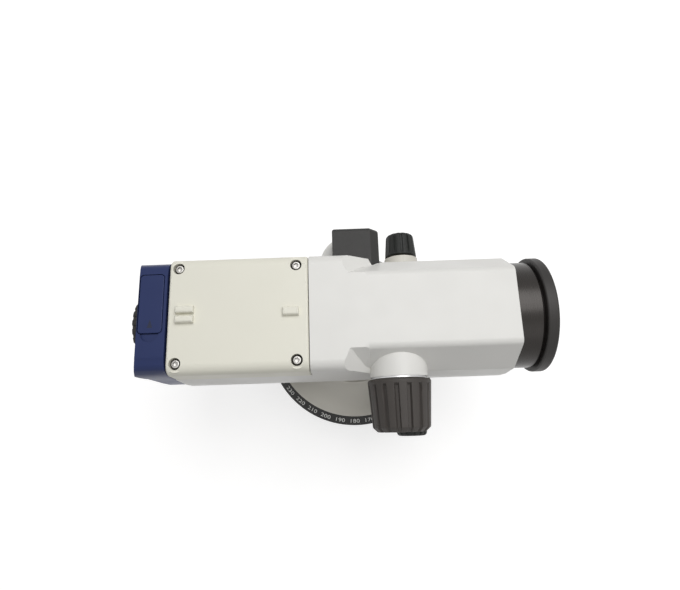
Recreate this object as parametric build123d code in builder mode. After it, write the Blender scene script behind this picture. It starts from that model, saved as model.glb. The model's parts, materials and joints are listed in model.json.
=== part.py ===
from build123d import *
import math
import os

# Automatic level for surveying, in millimetres.
# +X points out of the objective, +Y to the bubble side, +Z up.
# The origin is on the vertical axis, at the underside of the base plate.

os.makedirs("parts", exist_ok=True)

# Clearances
running_fit = 0.05
body_gap = 0.3
seam_gap = 0.35

# Levelling base
foot_angles = {1: 120, 2: 240, 3: 0}
base_plate_thickness = 5.0
base_lobe_radius = 13.5
base_edge_radius = 1.2
thread_boss_radius = 19.0
thread_boss_height = 12.0
tripod_thread_radius = 6.8
ball_radius = 5.0
ball_centre_height = 8.0
socket_clearance = 0.3
socket_boss_radius = 10.0
socket_lip_height = 3.0
spring_plate_thickness = 1.5
spring_plate_lobe_radius = 10.5
spring_plate_window_radius = 22.0
spring_plate_grip_radius = 4.35
spring_screw_circle_radius = 26.5
spring_screw_radius = 1.5
spring_screw_length = 6.0
spring_screw_head_radius = 2.75
spring_screw_head_height = 1.8
spring_post_radius = 3.6

# Foot screws
foot_neck_radius = 3.0
foot_spindle_radius = 4.0
foot_knob_lift = 2.5
foot_knob_radius = 12.5
foot_knob_height = 11.0
foot_knob_flutes = 18
foot_knob_flute_depth = 1.0
foot_knob_hub_radius = 7.0
foot_knob_hub_rise = 1.2
foot_spindle_reach = 10.0
foot_bush_radius = 6.5
foot_bush_length = 13.0

# Tribrach and axis sleeve
levelling_gap = 4.0
tribrach_thickness = 14.0
tribrach_hub_radius = 30.0
tribrach_lobe_radius = 11.0
tribrach_lobe_gap = 1.2
tribrach_blend_radius = 7.0
tribrach_edge_radius = 1.5
sleeve_radius = 16.0
sleeve_shoulder_radius = 19.0
spindle_radius = 11.0
spindle_flange_radius = 21.0
spindle_flange_thickness = 3.3
spindle_stud_radius = 8.0
spindle_nut_radius = 14.5
spindle_nut_height = 4.5
spindle_screw_radius = 2.0
spindle_screw_circle_radius = 16.0
spindle_screw_length = 10.0
spindle_screw_head_radius = 3.4

# Horizontal circle
circle_outer_radius = 56.0
circle_band_inner_radius = 50.9
circle_band_rise = 4.6
circle_rim_drop = 3.0
circle_rim_height = 1.6
circle_rim_wall = 2.8
circle_web_thickness = 2.9
circle_hub_radius = 24.0
circle_hub_height = 6.0

# Fine motion: worm wheel on a friction clutch, and worm
wheel_module = 0.75
wheel_teeth = 72
wheel_thickness = 4.4
wheel_rise = 21.0
wheel_web_thickness = 2.4
wheel_rim_inner_radius = 23.5
wheel_hub_outer_radius = 19.5
worm_pitch_radius = 5.0
worm_turns = 7
worm_shaft_radius = 4.0
tooth_backlash = 0.15
clutch_spring_thickness = 0.5
clutch_spring_dish = 0.5
clutch_nut_radius = 20.5
clutch_nut_height = 2.4
worm_bush_radius = 7.0
worm_bush_length = 14.0
fine_tube_radius = 10.5
fine_tube_half_length = 46.5
fine_knob_gap = 1.0
fine_knob_length = 15.3
fine_knob_radius = 10.0
fine_knob_tip_radius = 8.5
fine_knob_flutes = 14
fine_knob_flute_radius = 1.0

# Lower housing with its skirt
neck_radius = 31.5
neck_wall = 2.5
skirt_radius = 50.6
skirt_lip_height = 2.2
skirt_shoulder_radius = 47.5
skirt_shoulder_rise = 3.0
skirt_gap = 0.4
neck_floor_thickness = 5.4
web_front = 40.0
web_back = 22.0
web_half_width = 26.0

# Telescope body, heights and half widths measured from the line of sight
body_drop = 24.0
top_rise = 29.7
parting_rise = 13.0
rear_half_top = 29.1
rear_half_parting = 30.0
rear_half_side = 31.2
rear_half_bottom = 24.0
front_half_top = 18.8
front_half_shoulder = 29.5
front_shoulder_rise = 11.0
front_half_side = 31.0
front_half_bottom = 23.0
side_low_drop = 16.0
side_high_drop = 4.0
rear_corner_radius = 5.5
front_corner_radius = 4.0
facet_corner_radius = 3.0
bottom_corner_radius = 6.0
body_rear = -92.5
cover_front = -23.0
blend_rear = -3.0
blend_front = 6.0
nose_start = 60.0
body_front = 80.0
nose_lift = 3.0
telescope_bore_radius = 21.5
chamber_rear = -86.0
chamber_front = -27.0
chamber_half_width = 26.5
chamber_floor_thickness = 3.0
front_wall_bore_radius = 15.0
rear_wall_bore_radius = 15.5

# Compensator cover
cover_wall = 2.5
cover_edge_radius = 1.2
cover_screw_x = (-88.0, -29.3)
cover_screw_y = 23.8
cover_boss_radius = 4.2
cover_screw_radius = 1.5
cover_screw_head_radius = 2.25
cover_screw_head_height = 2.2
cover_counterbore_radius = 2.9
cover_counterbore_depth = 3.4
cover_screw_thread_depth = 9.0
front_sight_x = -32.0
rear_sight_x = -84.0
rear_sight_spacing = 4.8
front_sight_size = (8.0, 4.2, 2.4)
rear_sight_size = (9.0, 3.5, 2.8)

# Rear cap and hatch door
cap_seam = 0.9
cap_top_rear = -107.5
cap_rear = -112.0
cap_face_top_rise = 15.0
cap_face_low_drop = 6.0
cap_heel = -103.0
cap_half_top = 22.5
cap_half_shoulder = 28.6
cap_half_side = 30.2
cap_top_corner_radius = 4.0
cap_corner_cut = 7.0
cap_pocket_rear = -104.7
cap_wall = 3.2
door_rear = -107.0
door_front = -95.1
door_left = 21.0
door_right = -8.5
door_thickness = 2.0
door_corner_radius = 1.8
door_ledge = 1.6
notch_radius = 4.5
notch_depth = 1.3

# Objective
barrel_radius = 28.5
barrel_front = 92.0
barrel_spigot_length = 14.0
barrel_bore_radius = 18.6
lens_seat_radius = 20.0
barrel_neck_radius = 27.0
barrel_nose_radius = 25.5
barrel_nose_length = 5.6
groove_width = 1.1
rim_radius = 30.7
rim_front = 98.9
rim_mouth_radius = 24.0
rim_edge_radius = 1.0
objective_front_x = 88.0
objective_lens_thickness = 6.0
objective_rear_thickness = 4.0
lens_land = 1.5
lens_gap = 0.4
retainer_width = 2.4
retainer_wall = 1.8

# Focusing
guide_bore_radius = 16.05
guide_outer_radius = 18.0
guide_rear = -7.0
guide_front = 58.0
guide_flange_width = 4.0
cell_rear = 12.0
cell_length = 24.0
cell_wall = 2.5
focus_travel = 11.0
focus_lens_thickness = 5.0
focus_x = 20.9
focus_rise = 11.0
pinion_module = 0.5
pinion_teeth = 16
pinion_width = 5.0
pinion_outer_y = -20.4
rack_base_drop = 3.0
rack_margin = 3.0
focus_shaft_radius = 3.0
focus_boss_radius = 14.6
focus_boss_end = -32.3
focus_bush_radius = 7.0
focus_bush_flange_radius = 13.6
focus_bush_flange = 0.8
focus_bush_rear_y = -21.5
focus_knob_start = -33.5
focus_knob_end = -59.0
focus_knob_radius = 16.1
focus_knob_tip_radius = 14.2
focus_knob_flutes = 16
focus_knob_flute_radius = 1.35
focus_knob_plain_band = 3.2
focus_knob_bevel = 2.2
focus_knob_socket_depth = 14.0

# Compensator
prism_size = 14.0
prism_half_width = 12.0
front_prism_x = -36.0
rear_prism_x = -76.0
frame_plate_thickness = 3.0
frame_rear = -80.0
frame_front = -32.0
frame_top_rise = 21.0
frame_bar_thickness = 3.0
frame_bar_length = 14.0
pendulum_x = -56.0
pendulum_half_length = 8.5
pendulum_half_width = 11.4
pendulum_strap_thickness = 2.0
pendulum_strap_half_length = 4.0
pendulum_bottom_drop = 18.0
pendulum_plate_thickness = 2.2
pendulum_top_rise = 12.0
pendulum_prism_height = 8.0
tape_spread = 3.0
tape_width = 1.6
tape_thickness = 0.3
tape_gap = 0.1
magnet_radius = 5.0
magnet_gap = 0.6

# Reticle and eyepiece
socket_rear = -104.4
socket_front = -88.0
socket_guide_length = 3.4
eyepiece_cell_radius = 12.5
socket_chamber_radius = 14.0
reticle_mount_rear = -100.6
reticle_mount_thickness = 3.0
reticle_mount_radius = 13.4
reticle_glass_radius = 9.0
reticle_glass_thickness = 1.5
reticle_screw_radius = 1.5
reticle_screw_head_radius = 2.5
reticle_screw_head_height = 2.5
reticle_screw_top_rise = 24.5
eyepiece_cell_front = -102.4
eyepiece_cell_rear = -113.0
eyepiece_bore_radius = 9.5
eyepiece_end = -116.1
ring_front = -108.7
ring_radius = 16.0
ring_flutes = 20
ring_flute_radius = 0.9
eyecup_radius = 12.2
eyecup_mouth_radius = 7.0
cap_recess_radius = 17.3
cap_recess_front = -106.4
cap_eyepiece_hole_radius = 13.0
eye_lens_thickness = 3.6
field_lens_thickness = 3.0

# Bubble vial and its viewer
shelf_centre = (-2.0, 34.0)
shelf_radius = 16.5
shelf_top_drop = 4.0
shelf_thickness = 12.0
vial_centre = (0.0, 39.7)
vial_radius = 6.3
vial_height = 6.6
vial_holder_wall = 1.6
vial_holder_floor = 1.6
vial_pocket_depth = 9.0
vial_screw_radius = 1.0
vial_screw_head_radius = 1.8
vial_screw_head_height = 1.3
vial_screw_circle_radius = 4.8
viewer_rear = -11.0
viewer_front = 14.0
viewer_crease = 9.5
viewer_outer = 47.7
viewer_rise = 17.0
viewer_slope_drop = 4.5
viewer_wall = 2.4
viewer_corner_radius = 2.2
viewer_bottom_gap = 0.3
window_thickness = 1.2
window_half_width = 5.2
window_height = 12.0
mirror_thickness = 1.2

# The arms of the tribrach end inside the rim of the circle
circle_rim_inner_radius = circle_outer_radius - circle_rim_wall
foot_circle_radius = circle_rim_inner_radius - tribrach_lobe_gap - tribrach_lobe_radius

# Heights up the instrument
spring_plate_z = ball_centre_height + socket_lip_height
spring_plate_top = spring_plate_z + spring_plate_thickness
foot_knob_z = spring_plate_top + foot_knob_lift
foot_knob_top = foot_knob_z + foot_knob_height
tribrach_z = foot_knob_top + levelling_gap
tribrach_top = tribrach_z + tribrach_thickness
circle_z = tribrach_top + body_gap
band_outer_z = circle_z + circle_rim_height
band_inner_z = band_outer_z + circle_band_rise
worm_z = tribrach_top + wheel_rise
wheel_z = worm_z - wheel_thickness / 2
wheel_top = wheel_z + wheel_thickness
clutch_spring_z = wheel_top + seam_gap
clutch_nut_z = clutch_spring_z + clutch_spring_thickness + clutch_spring_dish + running_fit
sleeve_top = clutch_nut_z + clutch_nut_height
flange_z = sleeve_top + body_gap
flange_top = flange_z + spindle_flange_thickness
body_bottom = flange_top + neck_floor_thickness
axis_z = body_bottom + body_drop
top_z = axis_z + top_rise
parting_z = axis_z + parting_rise
skirt_z = band_inner_z + skirt_gap
worm_x = wheel_module * wheel_teeth / 2 + worm_pitch_radius
focus_z = axis_z + focus_rise
rear_lens_front = objective_front_x - objective_lens_thickness - lens_gap
sight_axis = Axis((0, 0, axis_z), (1, 0, 0))
worm_axis = Axis((worm_x, 0, worm_z), (0, 1, 0))
focus_axis = Axis((focus_x, 0, focus_z), (0, 1, 0))


# Shapes turned about the instrument's axes, from (along, radius) or (radius, z) corners

def turn_about_sight(corners, mode=Mode.ADD):
    with BuildSketch(Plane.XZ) as profile:
        with BuildLine():
            Polyline(*[(x, axis_z + r) for x, r in corners], close=True)
        make_face()
    revolve(profile.sketch, axis=sight_axis, mode=mode)


def turn_about_z(corners, centre=(0, 0), mode=Mode.ADD):
    radial_plane = Plane((centre[0], centre[1], 0), x_dir=(1, 0, 0), z_dir=(0, -1, 0))
    with BuildSketch(radial_plane) as profile:
        with BuildLine():
            Polyline(*corners, close=True)
        make_face()
    revolve(profile.sketch, axis=Axis((centre[0], centre[1], 0), (0, 0, 1)), mode=mode)


def turn_about_y(corners, axis, mode=Mode.ADD):
    with BuildSketch(Plane.XY.offset(axis.position.Z)) as profile:
        with BuildLine():
            Polyline(*[(axis.position.X + r, y) for y, r in corners], close=True)
        make_face()
    revolve(profile.sketch, axis=axis, mode=mode)


def gear_outline(module, teeth, addendum, dedendum, backlash, pressure_angle=20):
    """Corners of a spur gear with involute flanks of three points each; a tooth is centred on angle 0."""
    pitch = module * teeth / 2
    base = pitch * math.cos(math.radians(pressure_angle))
    half_tooth = math.pi / 2 / teeth - backlash / 2 / pitch

    def involute(radius):
        roll = math.acos(min(1, base / radius))
        return math.tan(roll) - roll

    corners = []
    radii = [pitch - dedendum, pitch, pitch + addendum]
    offsets = [half_tooth + involute(pitch) - involute(max(r, base)) for r in radii]
    for tooth in range(teeth):
        centre = 2 * math.pi * tooth / teeth
        for r, offset in zip(radii, offsets):
            corners.append((r * math.cos(centre - offset), r * math.sin(centre - offset)))
        for r, offset in zip(reversed(radii), reversed(offsets)):
            corners.append((r * math.cos(centre + offset), r * math.sin(centre + offset)))
    return corners


def foot_position(number):
    angle = math.radians(foot_angles[number])
    return (foot_circle_radius * math.cos(angle), foot_circle_radius * math.sin(angle))


# Base plate: three lobes under the foot screws, ball sockets and the tapped tripod boss

with BuildPart() as base_plate:
    with BuildSketch(Plane.XY):
        with PolarLocations(foot_circle_radius, 3):
            Circle(base_lobe_radius)
        make_hull()
    extrude(amount=base_plate_thickness)
    fillet(base_plate.faces().sort_by(Axis.Z)[-1].edges(), base_edge_radius)
    with BuildSketch(Plane.XY):
        Circle(thread_boss_radius)
    extrude(amount=thread_boss_height)
    with BuildSketch(Plane.XY):
        with PolarLocations(foot_circle_radius, 3):
            Circle(socket_boss_radius)
    extrude(amount=spring_plate_z)
    with BuildSketch(Plane.XY):
        with PolarLocations(spring_screw_circle_radius, 3, start_angle=60):
            Circle(spring_post_radius)
    extrude(amount=spring_plate_z)
    with BuildSketch(Plane.XY.offset(spring_plate_z)):
        with PolarLocations(spring_screw_circle_radius, 3, start_angle=60):
            Circle(spring_screw_radius)
    extrude(amount=-spring_screw_length, mode=Mode.SUBTRACT)
    for number in foot_angles:
        turn_about_z(
            [
                (0, ball_centre_height - ball_radius + 0.4),
                (ball_radius * 0.55, ball_centre_height - ball_radius + 0.4),
                (ball_radius + socket_clearance, ball_centre_height - ball_radius * 0.35),
                (ball_radius + socket_clearance, spring_plate_z),
                (0, spring_plate_z),
            ],
            foot_position(number),
            Mode.SUBTRACT,
        )
    with BuildSketch(Plane.XY):
        Circle(tripod_thread_radius)
    extrude(amount=thread_boss_height, mode=Mode.SUBTRACT)

base_plate.part.label = "base_plate"
export_step(base_plate.part, "parts/base_plate.step")

with BuildPart() as spring_plate:
    with BuildSketch(Plane.XY.offset(spring_plate_z)):
        with PolarLocations(foot_circle_radius, 3):
            Circle(spring_plate_lobe_radius)
        make_hull()
        Circle(spring_plate_window_radius, mode=Mode.SUBTRACT)
        with PolarLocations(foot_circle_radius, 3):
            Circle(spring_plate_grip_radius, mode=Mode.SUBTRACT)
        with PolarLocations(spring_screw_circle_radius, 3, start_angle=60):
            Circle(spring_screw_radius, mode=Mode.SUBTRACT)
    extrude(amount=spring_plate_thickness)

spring_plate.part.label = "spring_plate"
export_step(spring_plate.part, "parts/spring_plate.step")

with BuildPart() as spring_plate_screws:
    with BuildSketch(Plane.XY.offset(spring_plate_top)):
        with PolarLocations(spring_screw_circle_radius, 3, start_angle=60):
            Circle(spring_screw_head_radius)
    extrude(amount=spring_screw_head_height)
    with BuildSketch(Plane.XY.offset(spring_plate_top)):
        with PolarLocations(spring_screw_circle_radius, 3, start_angle=60):
            Circle(spring_screw_radius)
    extrude(amount=-spring_screw_length)

spring_plate_screws.part.label = "spring_plate_screws"
export_step(spring_plate_screws.part, "parts/spring_plate_screws.step")


# Foot screws: ball end, neck and threaded spindle, with a fluted knob pressed on

foot_spindle_z = foot_knob_z - 1.0
foot_spindle_top = tribrach_z + foot_spindle_reach

for number in foot_angles:
    x_foot, y_foot = foot_position(number)
    with BuildPart() as foot_screw:
        turn_about_z(
            [
                (0, ball_centre_height),
                (foot_neck_radius, ball_centre_height),
                (foot_neck_radius, foot_spindle_z),
                (foot_spindle_radius, foot_spindle_z),
                (foot_spindle_radius, foot_spindle_top - 0.8),
                (foot_spindle_radius - 0.8, foot_spindle_top),
                (0, foot_spindle_top),
            ],
            (x_foot, y_foot),
        )
        with Locations((x_foot, y_foot, ball_centre_height)):
            Sphere(ball_radius)
        split(bisect_by=Plane.XY.offset(ball_centre_height - ball_radius + 0.7))
    foot_screw.part.label = f"foot_screw_{number}"
    export_step(foot_screw.part, f"parts/foot_screw_{number}.step")

    with BuildPart() as foot_knob:
        with BuildSketch(Plane.XY.offset(foot_knob_z)):
            with Locations((x_foot, y_foot)):
                Circle(foot_knob_radius)
                with PolarLocations(foot_knob_radius, foot_knob_flutes):
                    Rectangle(foot_knob_flute_depth * 2, 1.8, mode=Mode.SUBTRACT)
        extrude(amount=foot_knob_height)
        turn_about_z(
            [
                (foot_knob_radius - 1.6, foot_knob_top),
                (foot_knob_radius, foot_knob_top - 1.6),
                (foot_knob_radius + 1, foot_knob_top - 1.6),
                (foot_knob_radius + 1, foot_knob_top),
            ],
            (x_foot, y_foot),
            Mode.SUBTRACT,
        )
        with BuildSketch(Plane.XY.offset(foot_knob_top)):
            with Locations((x_foot, y_foot)):
                Circle(foot_knob_hub_radius)
        extrude(amount=foot_knob_hub_rise)
        with BuildSketch(Plane.XY.offset(foot_knob_z)):
            with Locations((x_foot, y_foot)):
                Circle(foot_spindle_radius + running_fit)
        extrude(amount=foot_knob_height + foot_knob_hub_rise, mode=Mode.SUBTRACT)
    foot_knob.part.label = f"foot_knob_{number}"
    export_step(foot_knob.part, f"parts/foot_knob_{number}.step")


# Tribrach: three arms around a hub, with blind bores for the foot bushes

with BuildPart() as tribrach:
    with BuildSketch(Plane.XY.offset(tribrach_z)) as tribrach_outline:
        Circle(tribrach_hub_radius)
        with PolarLocations(foot_circle_radius / 2, 3):
            Rectangle(foot_circle_radius, 2 * tribrach_lobe_radius)
        inner_corners = tribrach_outline.vertices().filter_by(
            lambda v: abs(math.hypot(v.X, v.Y) - tribrach_hub_radius) < 0.01
        )
        fillet(inner_corners, tribrach_blend_radius)
        with PolarLocations(foot_circle_radius, 3):
            Circle(tribrach_lobe_radius)
    extrude(amount=tribrach_thickness)
    fillet(tribrach.faces().sort_by(Axis.Z)[-1].edges(), tribrach_edge_radius)
    with BuildSketch(Plane.XY.offset(tribrach_z)):
        Circle(sleeve_radius)
    extrude(amount=tribrach_thickness, mode=Mode.SUBTRACT)
    with BuildSketch(Plane.XY.offset(tribrach_z)):
        with PolarLocations(foot_circle_radius, 3):
            Circle(foot_bush_radius)
    extrude(amount=foot_bush_length, mode=Mode.SUBTRACT)

tribrach.part.label = "tribrach"
export_step(tribrach.part, "parts/tribrach.step")

with BuildPart() as foot_bushes:
    with BuildSketch(Plane.XY.offset(tribrach_z)):
        with PolarLocations(foot_circle_radius, 3):
            Circle(foot_bush_radius)
            Circle(foot_spindle_radius + running_fit, mode=Mode.SUBTRACT)
    extrude(amount=foot_bush_length)

foot_bushes.part.label = "foot_bushes"
export_step(foot_bushes.part, "parts/foot_bushes.step")

with BuildPart() as axis_sleeve:
    turn_about_z(
        [
            (spindle_radius + running_fit, tribrach_z),
            (sleeve_radius, tribrach_z),
            (sleeve_radius, tribrach_top),
            (sleeve_shoulder_radius, tribrach_top),
            (sleeve_shoulder_radius, wheel_z - body_gap),
            (sleeve_radius, wheel_z - body_gap),
            (sleeve_radius, sleeve_top),
            (spindle_radius + running_fit, sleeve_top),
        ]
    )

axis_sleeve.part.label = "axis_sleeve"
export_step(axis_sleeve.part, "parts/axis_sleeve.step")


# Horizontal circle: a dished ring with a conical band for the figures

with BuildPart() as horizontal_circle:
    turn_about_z(
        [
            (sleeve_shoulder_radius + running_fit, circle_z),
            (circle_rim_inner_radius, circle_z),
            (circle_rim_inner_radius, circle_z - circle_rim_drop),
            (circle_outer_radius, circle_z - circle_rim_drop),
            (circle_outer_radius, band_outer_z),
            (circle_band_inner_radius, band_inner_z),
            (circle_band_inner_radius - 1.0, band_inner_z),
            (circle_band_inner_radius - 3.4, circle_z + circle_web_thickness),
            (circle_hub_radius, circle_z + circle_web_thickness),
            (circle_hub_radius, circle_z + circle_hub_height),
            (sleeve_shoulder_radius + running_fit, circle_z + circle_hub_height),
        ]
    )

horizontal_circle.part.label = "horizontal_circle"
export_step(horizontal_circle.part, "parts/horizontal_circle.step")


# Clutch: toothed wheel that slips on the sleeve under a spring washer and a nut

with BuildPart() as worm_wheel:
    with BuildSketch(Plane.XY.offset(wheel_z)):
        with BuildLine():
            Polyline(
                *gear_outline(
                    wheel_module, wheel_teeth, 0.75 * wheel_module, wheel_module, tooth_backlash
                ),
                close=True,
            )
        make_face()
    extrude(amount=wheel_thickness)
    for side_z, away in ((wheel_z, 1), (wheel_top, -1)):
        with BuildSketch(Plane.XY.offset(side_z)):
            Circle(wheel_rim_inner_radius)
            Circle(wheel_hub_outer_radius, mode=Mode.SUBTRACT)
        extrude(amount=away * (wheel_thickness - wheel_web_thickness) / 2, mode=Mode.SUBTRACT)
    with BuildSketch(Plane.XY.offset(wheel_z)):
        Circle(sleeve_radius + running_fit)
    extrude(amount=wheel_thickness, mode=Mode.SUBTRACT)

worm_wheel.part.label = "worm_wheel"
export_step(worm_wheel.part, "parts/worm_wheel.step")

with BuildPart() as clutch_spring:
    turn_about_z(
        [
            (sleeve_radius + running_fit, clutch_spring_z + clutch_spring_dish),
            (clutch_nut_radius, clutch_spring_z),
            (clutch_nut_radius, clutch_spring_z + clutch_spring_thickness),
            (sleeve_radius + running_fit, clutch_spring_z + clutch_spring_dish + clutch_spring_thickness),
        ]
    )

clutch_spring.part.label = "clutch_spring"
export_step(clutch_spring.part, "parts/clutch_spring.step")

with BuildPart() as clutch_nut:
    with BuildSketch(Plane.XY.offset(clutch_nut_z)):
        Circle(clutch_nut_radius)
        Circle(sleeve_radius, mode=Mode.SUBTRACT)
        with PolarLocations(clutch_nut_radius, 4):
            Rectangle(3.0, 3.0, mode=Mode.SUBTRACT)
    extrude(amount=clutch_nut_height)

clutch_nut.part.label = "clutch_nut"
export_step(clutch_nut.part, "parts/clutch_nut.step")


# Vertical spindle, which hangs the telescope in the sleeve

spindle_bottom = tribrach_z - body_gap

with BuildPart() as vertical_spindle:
    turn_about_z(
        [
            (0, spindle_bottom - spindle_nut_height - 1.0),
            (spindle_stud_radius, spindle_bottom - spindle_nut_height - 1.0),
            (spindle_stud_radius, spindle_bottom),
            (spindle_radius, spindle_bottom),
            (spindle_radius, flange_z),
            (spindle_flange_radius, flange_z),
            (spindle_flange_radius, flange_top),
            (0, flange_top),
        ]
    )
    with BuildSketch(Plane.XY.offset(flange_z)):
        with PolarLocations(spindle_screw_circle_radius, 4, start_angle=45):
            Circle(spindle_screw_radius)
    extrude(amount=spindle_flange_thickness, mode=Mode.SUBTRACT)
    with BuildSketch(Plane.XY.offset(flange_z)):
        with PolarLocations(spindle_screw_circle_radius, 4, start_angle=45):
            Circle(spindle_screw_head_radius)
    extrude(amount=spindle_flange_thickness - 1.2, mode=Mode.SUBTRACT)

vertical_spindle.part.label = "vertical_spindle"
export_step(vertical_spindle.part, "parts/vertical_spindle.step")

with BuildPart() as spindle_nut:
    with BuildSketch(Plane.XY.offset(spindle_bottom - spindle_nut_height)):
        RegularPolygon(spindle_nut_radius, 6)
        Circle(spindle_stud_radius, mode=Mode.SUBTRACT)
    extrude(amount=spindle_nut_height)

spindle_nut.part.label = "spindle_nut"
export_step(spindle_nut.part, "parts/spindle_nut.step")

with BuildPart() as spindle_screws:
    with BuildSketch(Plane.XY.offset(flange_top - 1.2)):
        with PolarLocations(spindle_screw_circle_radius, 4, start_angle=45):
            Circle(spindle_screw_radius)
    extrude(amount=spindle_screw_length - 2.0)
    with BuildSketch(Plane.XY.offset(flange_top - 1.2)):
        with PolarLocations(spindle_screw_circle_radius, 4, start_angle=45):
            Circle(spindle_screw_head_radius - 0.1)
    extrude(amount=-(spindle_flange_thickness - 1.2 - 0.1))

spindle_screws.part.label = "spindle_screws"
export_step(spindle_screws.part, "parts/spindle_screws.step")


# Lower housing: neck over the worm wheel, flared skirt over the circle and cross tube for the worm shaft

neck_chamber_radius = neck_radius - neck_wall
blend_z = flange_z

with BuildPart() as lower_housing:
    with BuildSketch(Plane.XZ):
        with BuildLine():
            Line((0, flange_top), (neck_chamber_radius, flange_top))
            Line((neck_chamber_radius, flange_top), (neck_chamber_radius, blend_z))
            inner_flare = TangentArc(
                (neck_chamber_radius, blend_z),
                (skirt_radius - neck_wall, skirt_z + 0.5),
                tangent=(0, -1),
            )
            Line(inner_flare @ 1, (skirt_radius - neck_wall, skirt_z))
            Line((skirt_radius - neck_wall, skirt_z), (skirt_radius, skirt_z))
            Line((skirt_radius, skirt_z), (skirt_radius, skirt_z + skirt_lip_height))
            Line(
                (skirt_radius, skirt_z + skirt_lip_height),
                (skirt_shoulder_radius, skirt_z + skirt_shoulder_rise),
            )
            TangentArc(
                (neck_radius, blend_z),
                (skirt_shoulder_radius, skirt_z + skirt_shoulder_rise),
                tangent=(0, -1),
            )
            Line((neck_radius, blend_z), (neck_radius, body_bottom))
            Line((neck_radius, body_bottom), (0, body_bottom))
            Line((0, body_bottom), (0, flange_top))
        make_face()
    revolve(axis=Axis.Z)
    with BuildSketch(Plane.XZ.offset(-fine_tube_half_length)):
        with Locations((worm_x, worm_z)):
            Circle(fine_tube_radius)
    extrude(amount=2 * fine_tube_half_length)
    with BuildSketch(Plane.XY.offset(worm_z)):
        with Locations(((web_front + web_back) / 2, 0)):
            Rectangle(web_front - web_back, 2 * web_half_width)
    extrude(amount=body_bottom - worm_z)
    with BuildSketch(Plane.XY.offset(skirt_z)):
        Circle(neck_chamber_radius)
    extrude(amount=flange_top - skirt_z, mode=Mode.SUBTRACT)
    with BuildSketch(Plane.XZ.offset(-fine_tube_half_length)):
        with Locations((worm_x, worm_z)):
            Circle(worm_bush_radius)
    extrude(amount=2 * fine_tube_half_length, mode=Mode.SUBTRACT)
    with BuildSketch(Plane.XY.offset(flange_top)):
        with PolarLocations(spindle_screw_circle_radius, 4, start_angle=45):
            Circle(spindle_screw_radius)
    extrude(amount=neck_floor_thickness, mode=Mode.SUBTRACT)

lower_housing.part.label = "lower_housing"
export_step(lower_housing.part, "parts/lower_housing.step")


# Worm shaft: a right-hand screw thread that meshes with the wheel, between two bushes

worm_lead = math.pi * wheel_module
worm_root_radius = worm_pitch_radius - wheel_module
worm_tip_radius = worm_pitch_radius + 0.75 * wheel_module
thread_height = worm_tip_radius - worm_root_radius
thread_tip_width = worm_lead / 2 - tooth_backlash - 2 * 0.75 * wheel_module * math.tan(math.radians(20))
thread_root_width = thread_tip_width + 2 * thread_height * math.tan(math.radians(20))
shaft_half_length = fine_tube_half_length + fine_knob_gap + fine_knob_length - 4.0

# The thread starts at the top, a quarter turn past the wheel, so that a gap faces the tooth at y 0
thread_start = -(worm_turns // 2 + 0.25) * worm_lead

with BuildPart() as worm_shaft:
    with BuildLine() as thread_path:
        thread_helix = Helix(
            worm_lead,
            worm_lead * worm_turns,
            worm_root_radius - 0.1,
            center=(worm_x, thread_start, worm_z),
            direction=(0, 1, 0),
        )
    outward = (thread_helix @ 0) - Vector(worm_x, thread_start, worm_z)
    with BuildSketch(Plane(origin=thread_helix @ 0, x_dir=outward, z_dir=thread_helix % 0)):
        with BuildLine():
            Polyline(
                (0, -thread_root_width / 2),
                (thread_height + 0.1, -thread_tip_width / 2),
                (thread_height + 0.1, thread_tip_width / 2),
                (0, thread_root_width / 2),
                close=True,
            )
        make_face()
    sweep(is_frenet=True)
    worm_half_length = (worm_turns / 2 + 1) * worm_lead
    turn_about_y(
        [
            (-shaft_half_length, 0),
            (-shaft_half_length, worm_shaft_radius),
            (-worm_half_length, worm_shaft_radius),
            (-worm_half_length, worm_root_radius),
            (worm_half_length, worm_root_radius),
            (worm_half_length, worm_shaft_radius),
            (shaft_half_length, worm_shaft_radius),
            (shaft_half_length, 0),
        ],
        worm_axis,
    )

worm_shaft.part.label = "worm_shaft"
export_step(worm_shaft.part, "parts/worm_shaft.step")

with BuildPart() as worm_bushes:
    for side in (1, -1):
        worm_bush_inner_y = side * (fine_tube_half_length - worm_bush_length)
        worm_bush_outer_y = side * (fine_tube_half_length + fine_knob_gap - body_gap)
        turn_about_y(
            [
                (worm_bush_inner_y, worm_shaft_radius + running_fit),
                (worm_bush_inner_y, worm_bush_radius),
                (worm_bush_outer_y, worm_bush_radius),
                (worm_bush_outer_y, worm_shaft_radius + running_fit),
            ],
            worm_axis,
        )

worm_bushes.part.label = "worm_bushes"
export_step(worm_bushes.part, "parts/worm_bushes.step")

fine_knob_start = fine_tube_half_length + fine_knob_gap

for side, side_name in ((1, "left"), (-1, "right")):
    tip = fine_knob_start + fine_knob_length
    with BuildPart() as fine_knob:
        turn_about_y(
            [
                (side * fine_knob_start, 0),
                (side * fine_knob_start, fine_knob_radius - 0.6),
                (side * (fine_knob_start + 0.6), fine_knob_radius),
                (side * (tip - 1.6), fine_knob_tip_radius + 0.2),
                (side * tip, fine_knob_tip_radius - 1.4),
                (side * tip, 0),
            ],
            worm_axis,
        )
        knob_plane = Plane(
            (worm_x, side * (fine_knob_start + 2.4), worm_z), x_dir=(1, 0, 0), z_dir=(0, side, 0)
        )
        with BuildSketch(knob_plane):
            with PolarLocations(fine_knob_radius + 0.1, fine_knob_flutes):
                Circle(fine_knob_flute_radius)
        extrude(amount=fine_knob_length, mode=Mode.SUBTRACT)
        turn_about_y(
            [
                (side * fine_knob_start, 0),
                (side * fine_knob_start, worm_shaft_radius),
                (side * shaft_half_length, worm_shaft_radius),
                (side * shaft_half_length, 0),
            ],
            worm_axis,
            Mode.SUBTRACT,
        )
    fine_knob.part.label = f"fine_knob_{side_name}"
    export_step(fine_knob.part, f"parts/fine_knob_{side_name}.step")


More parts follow.
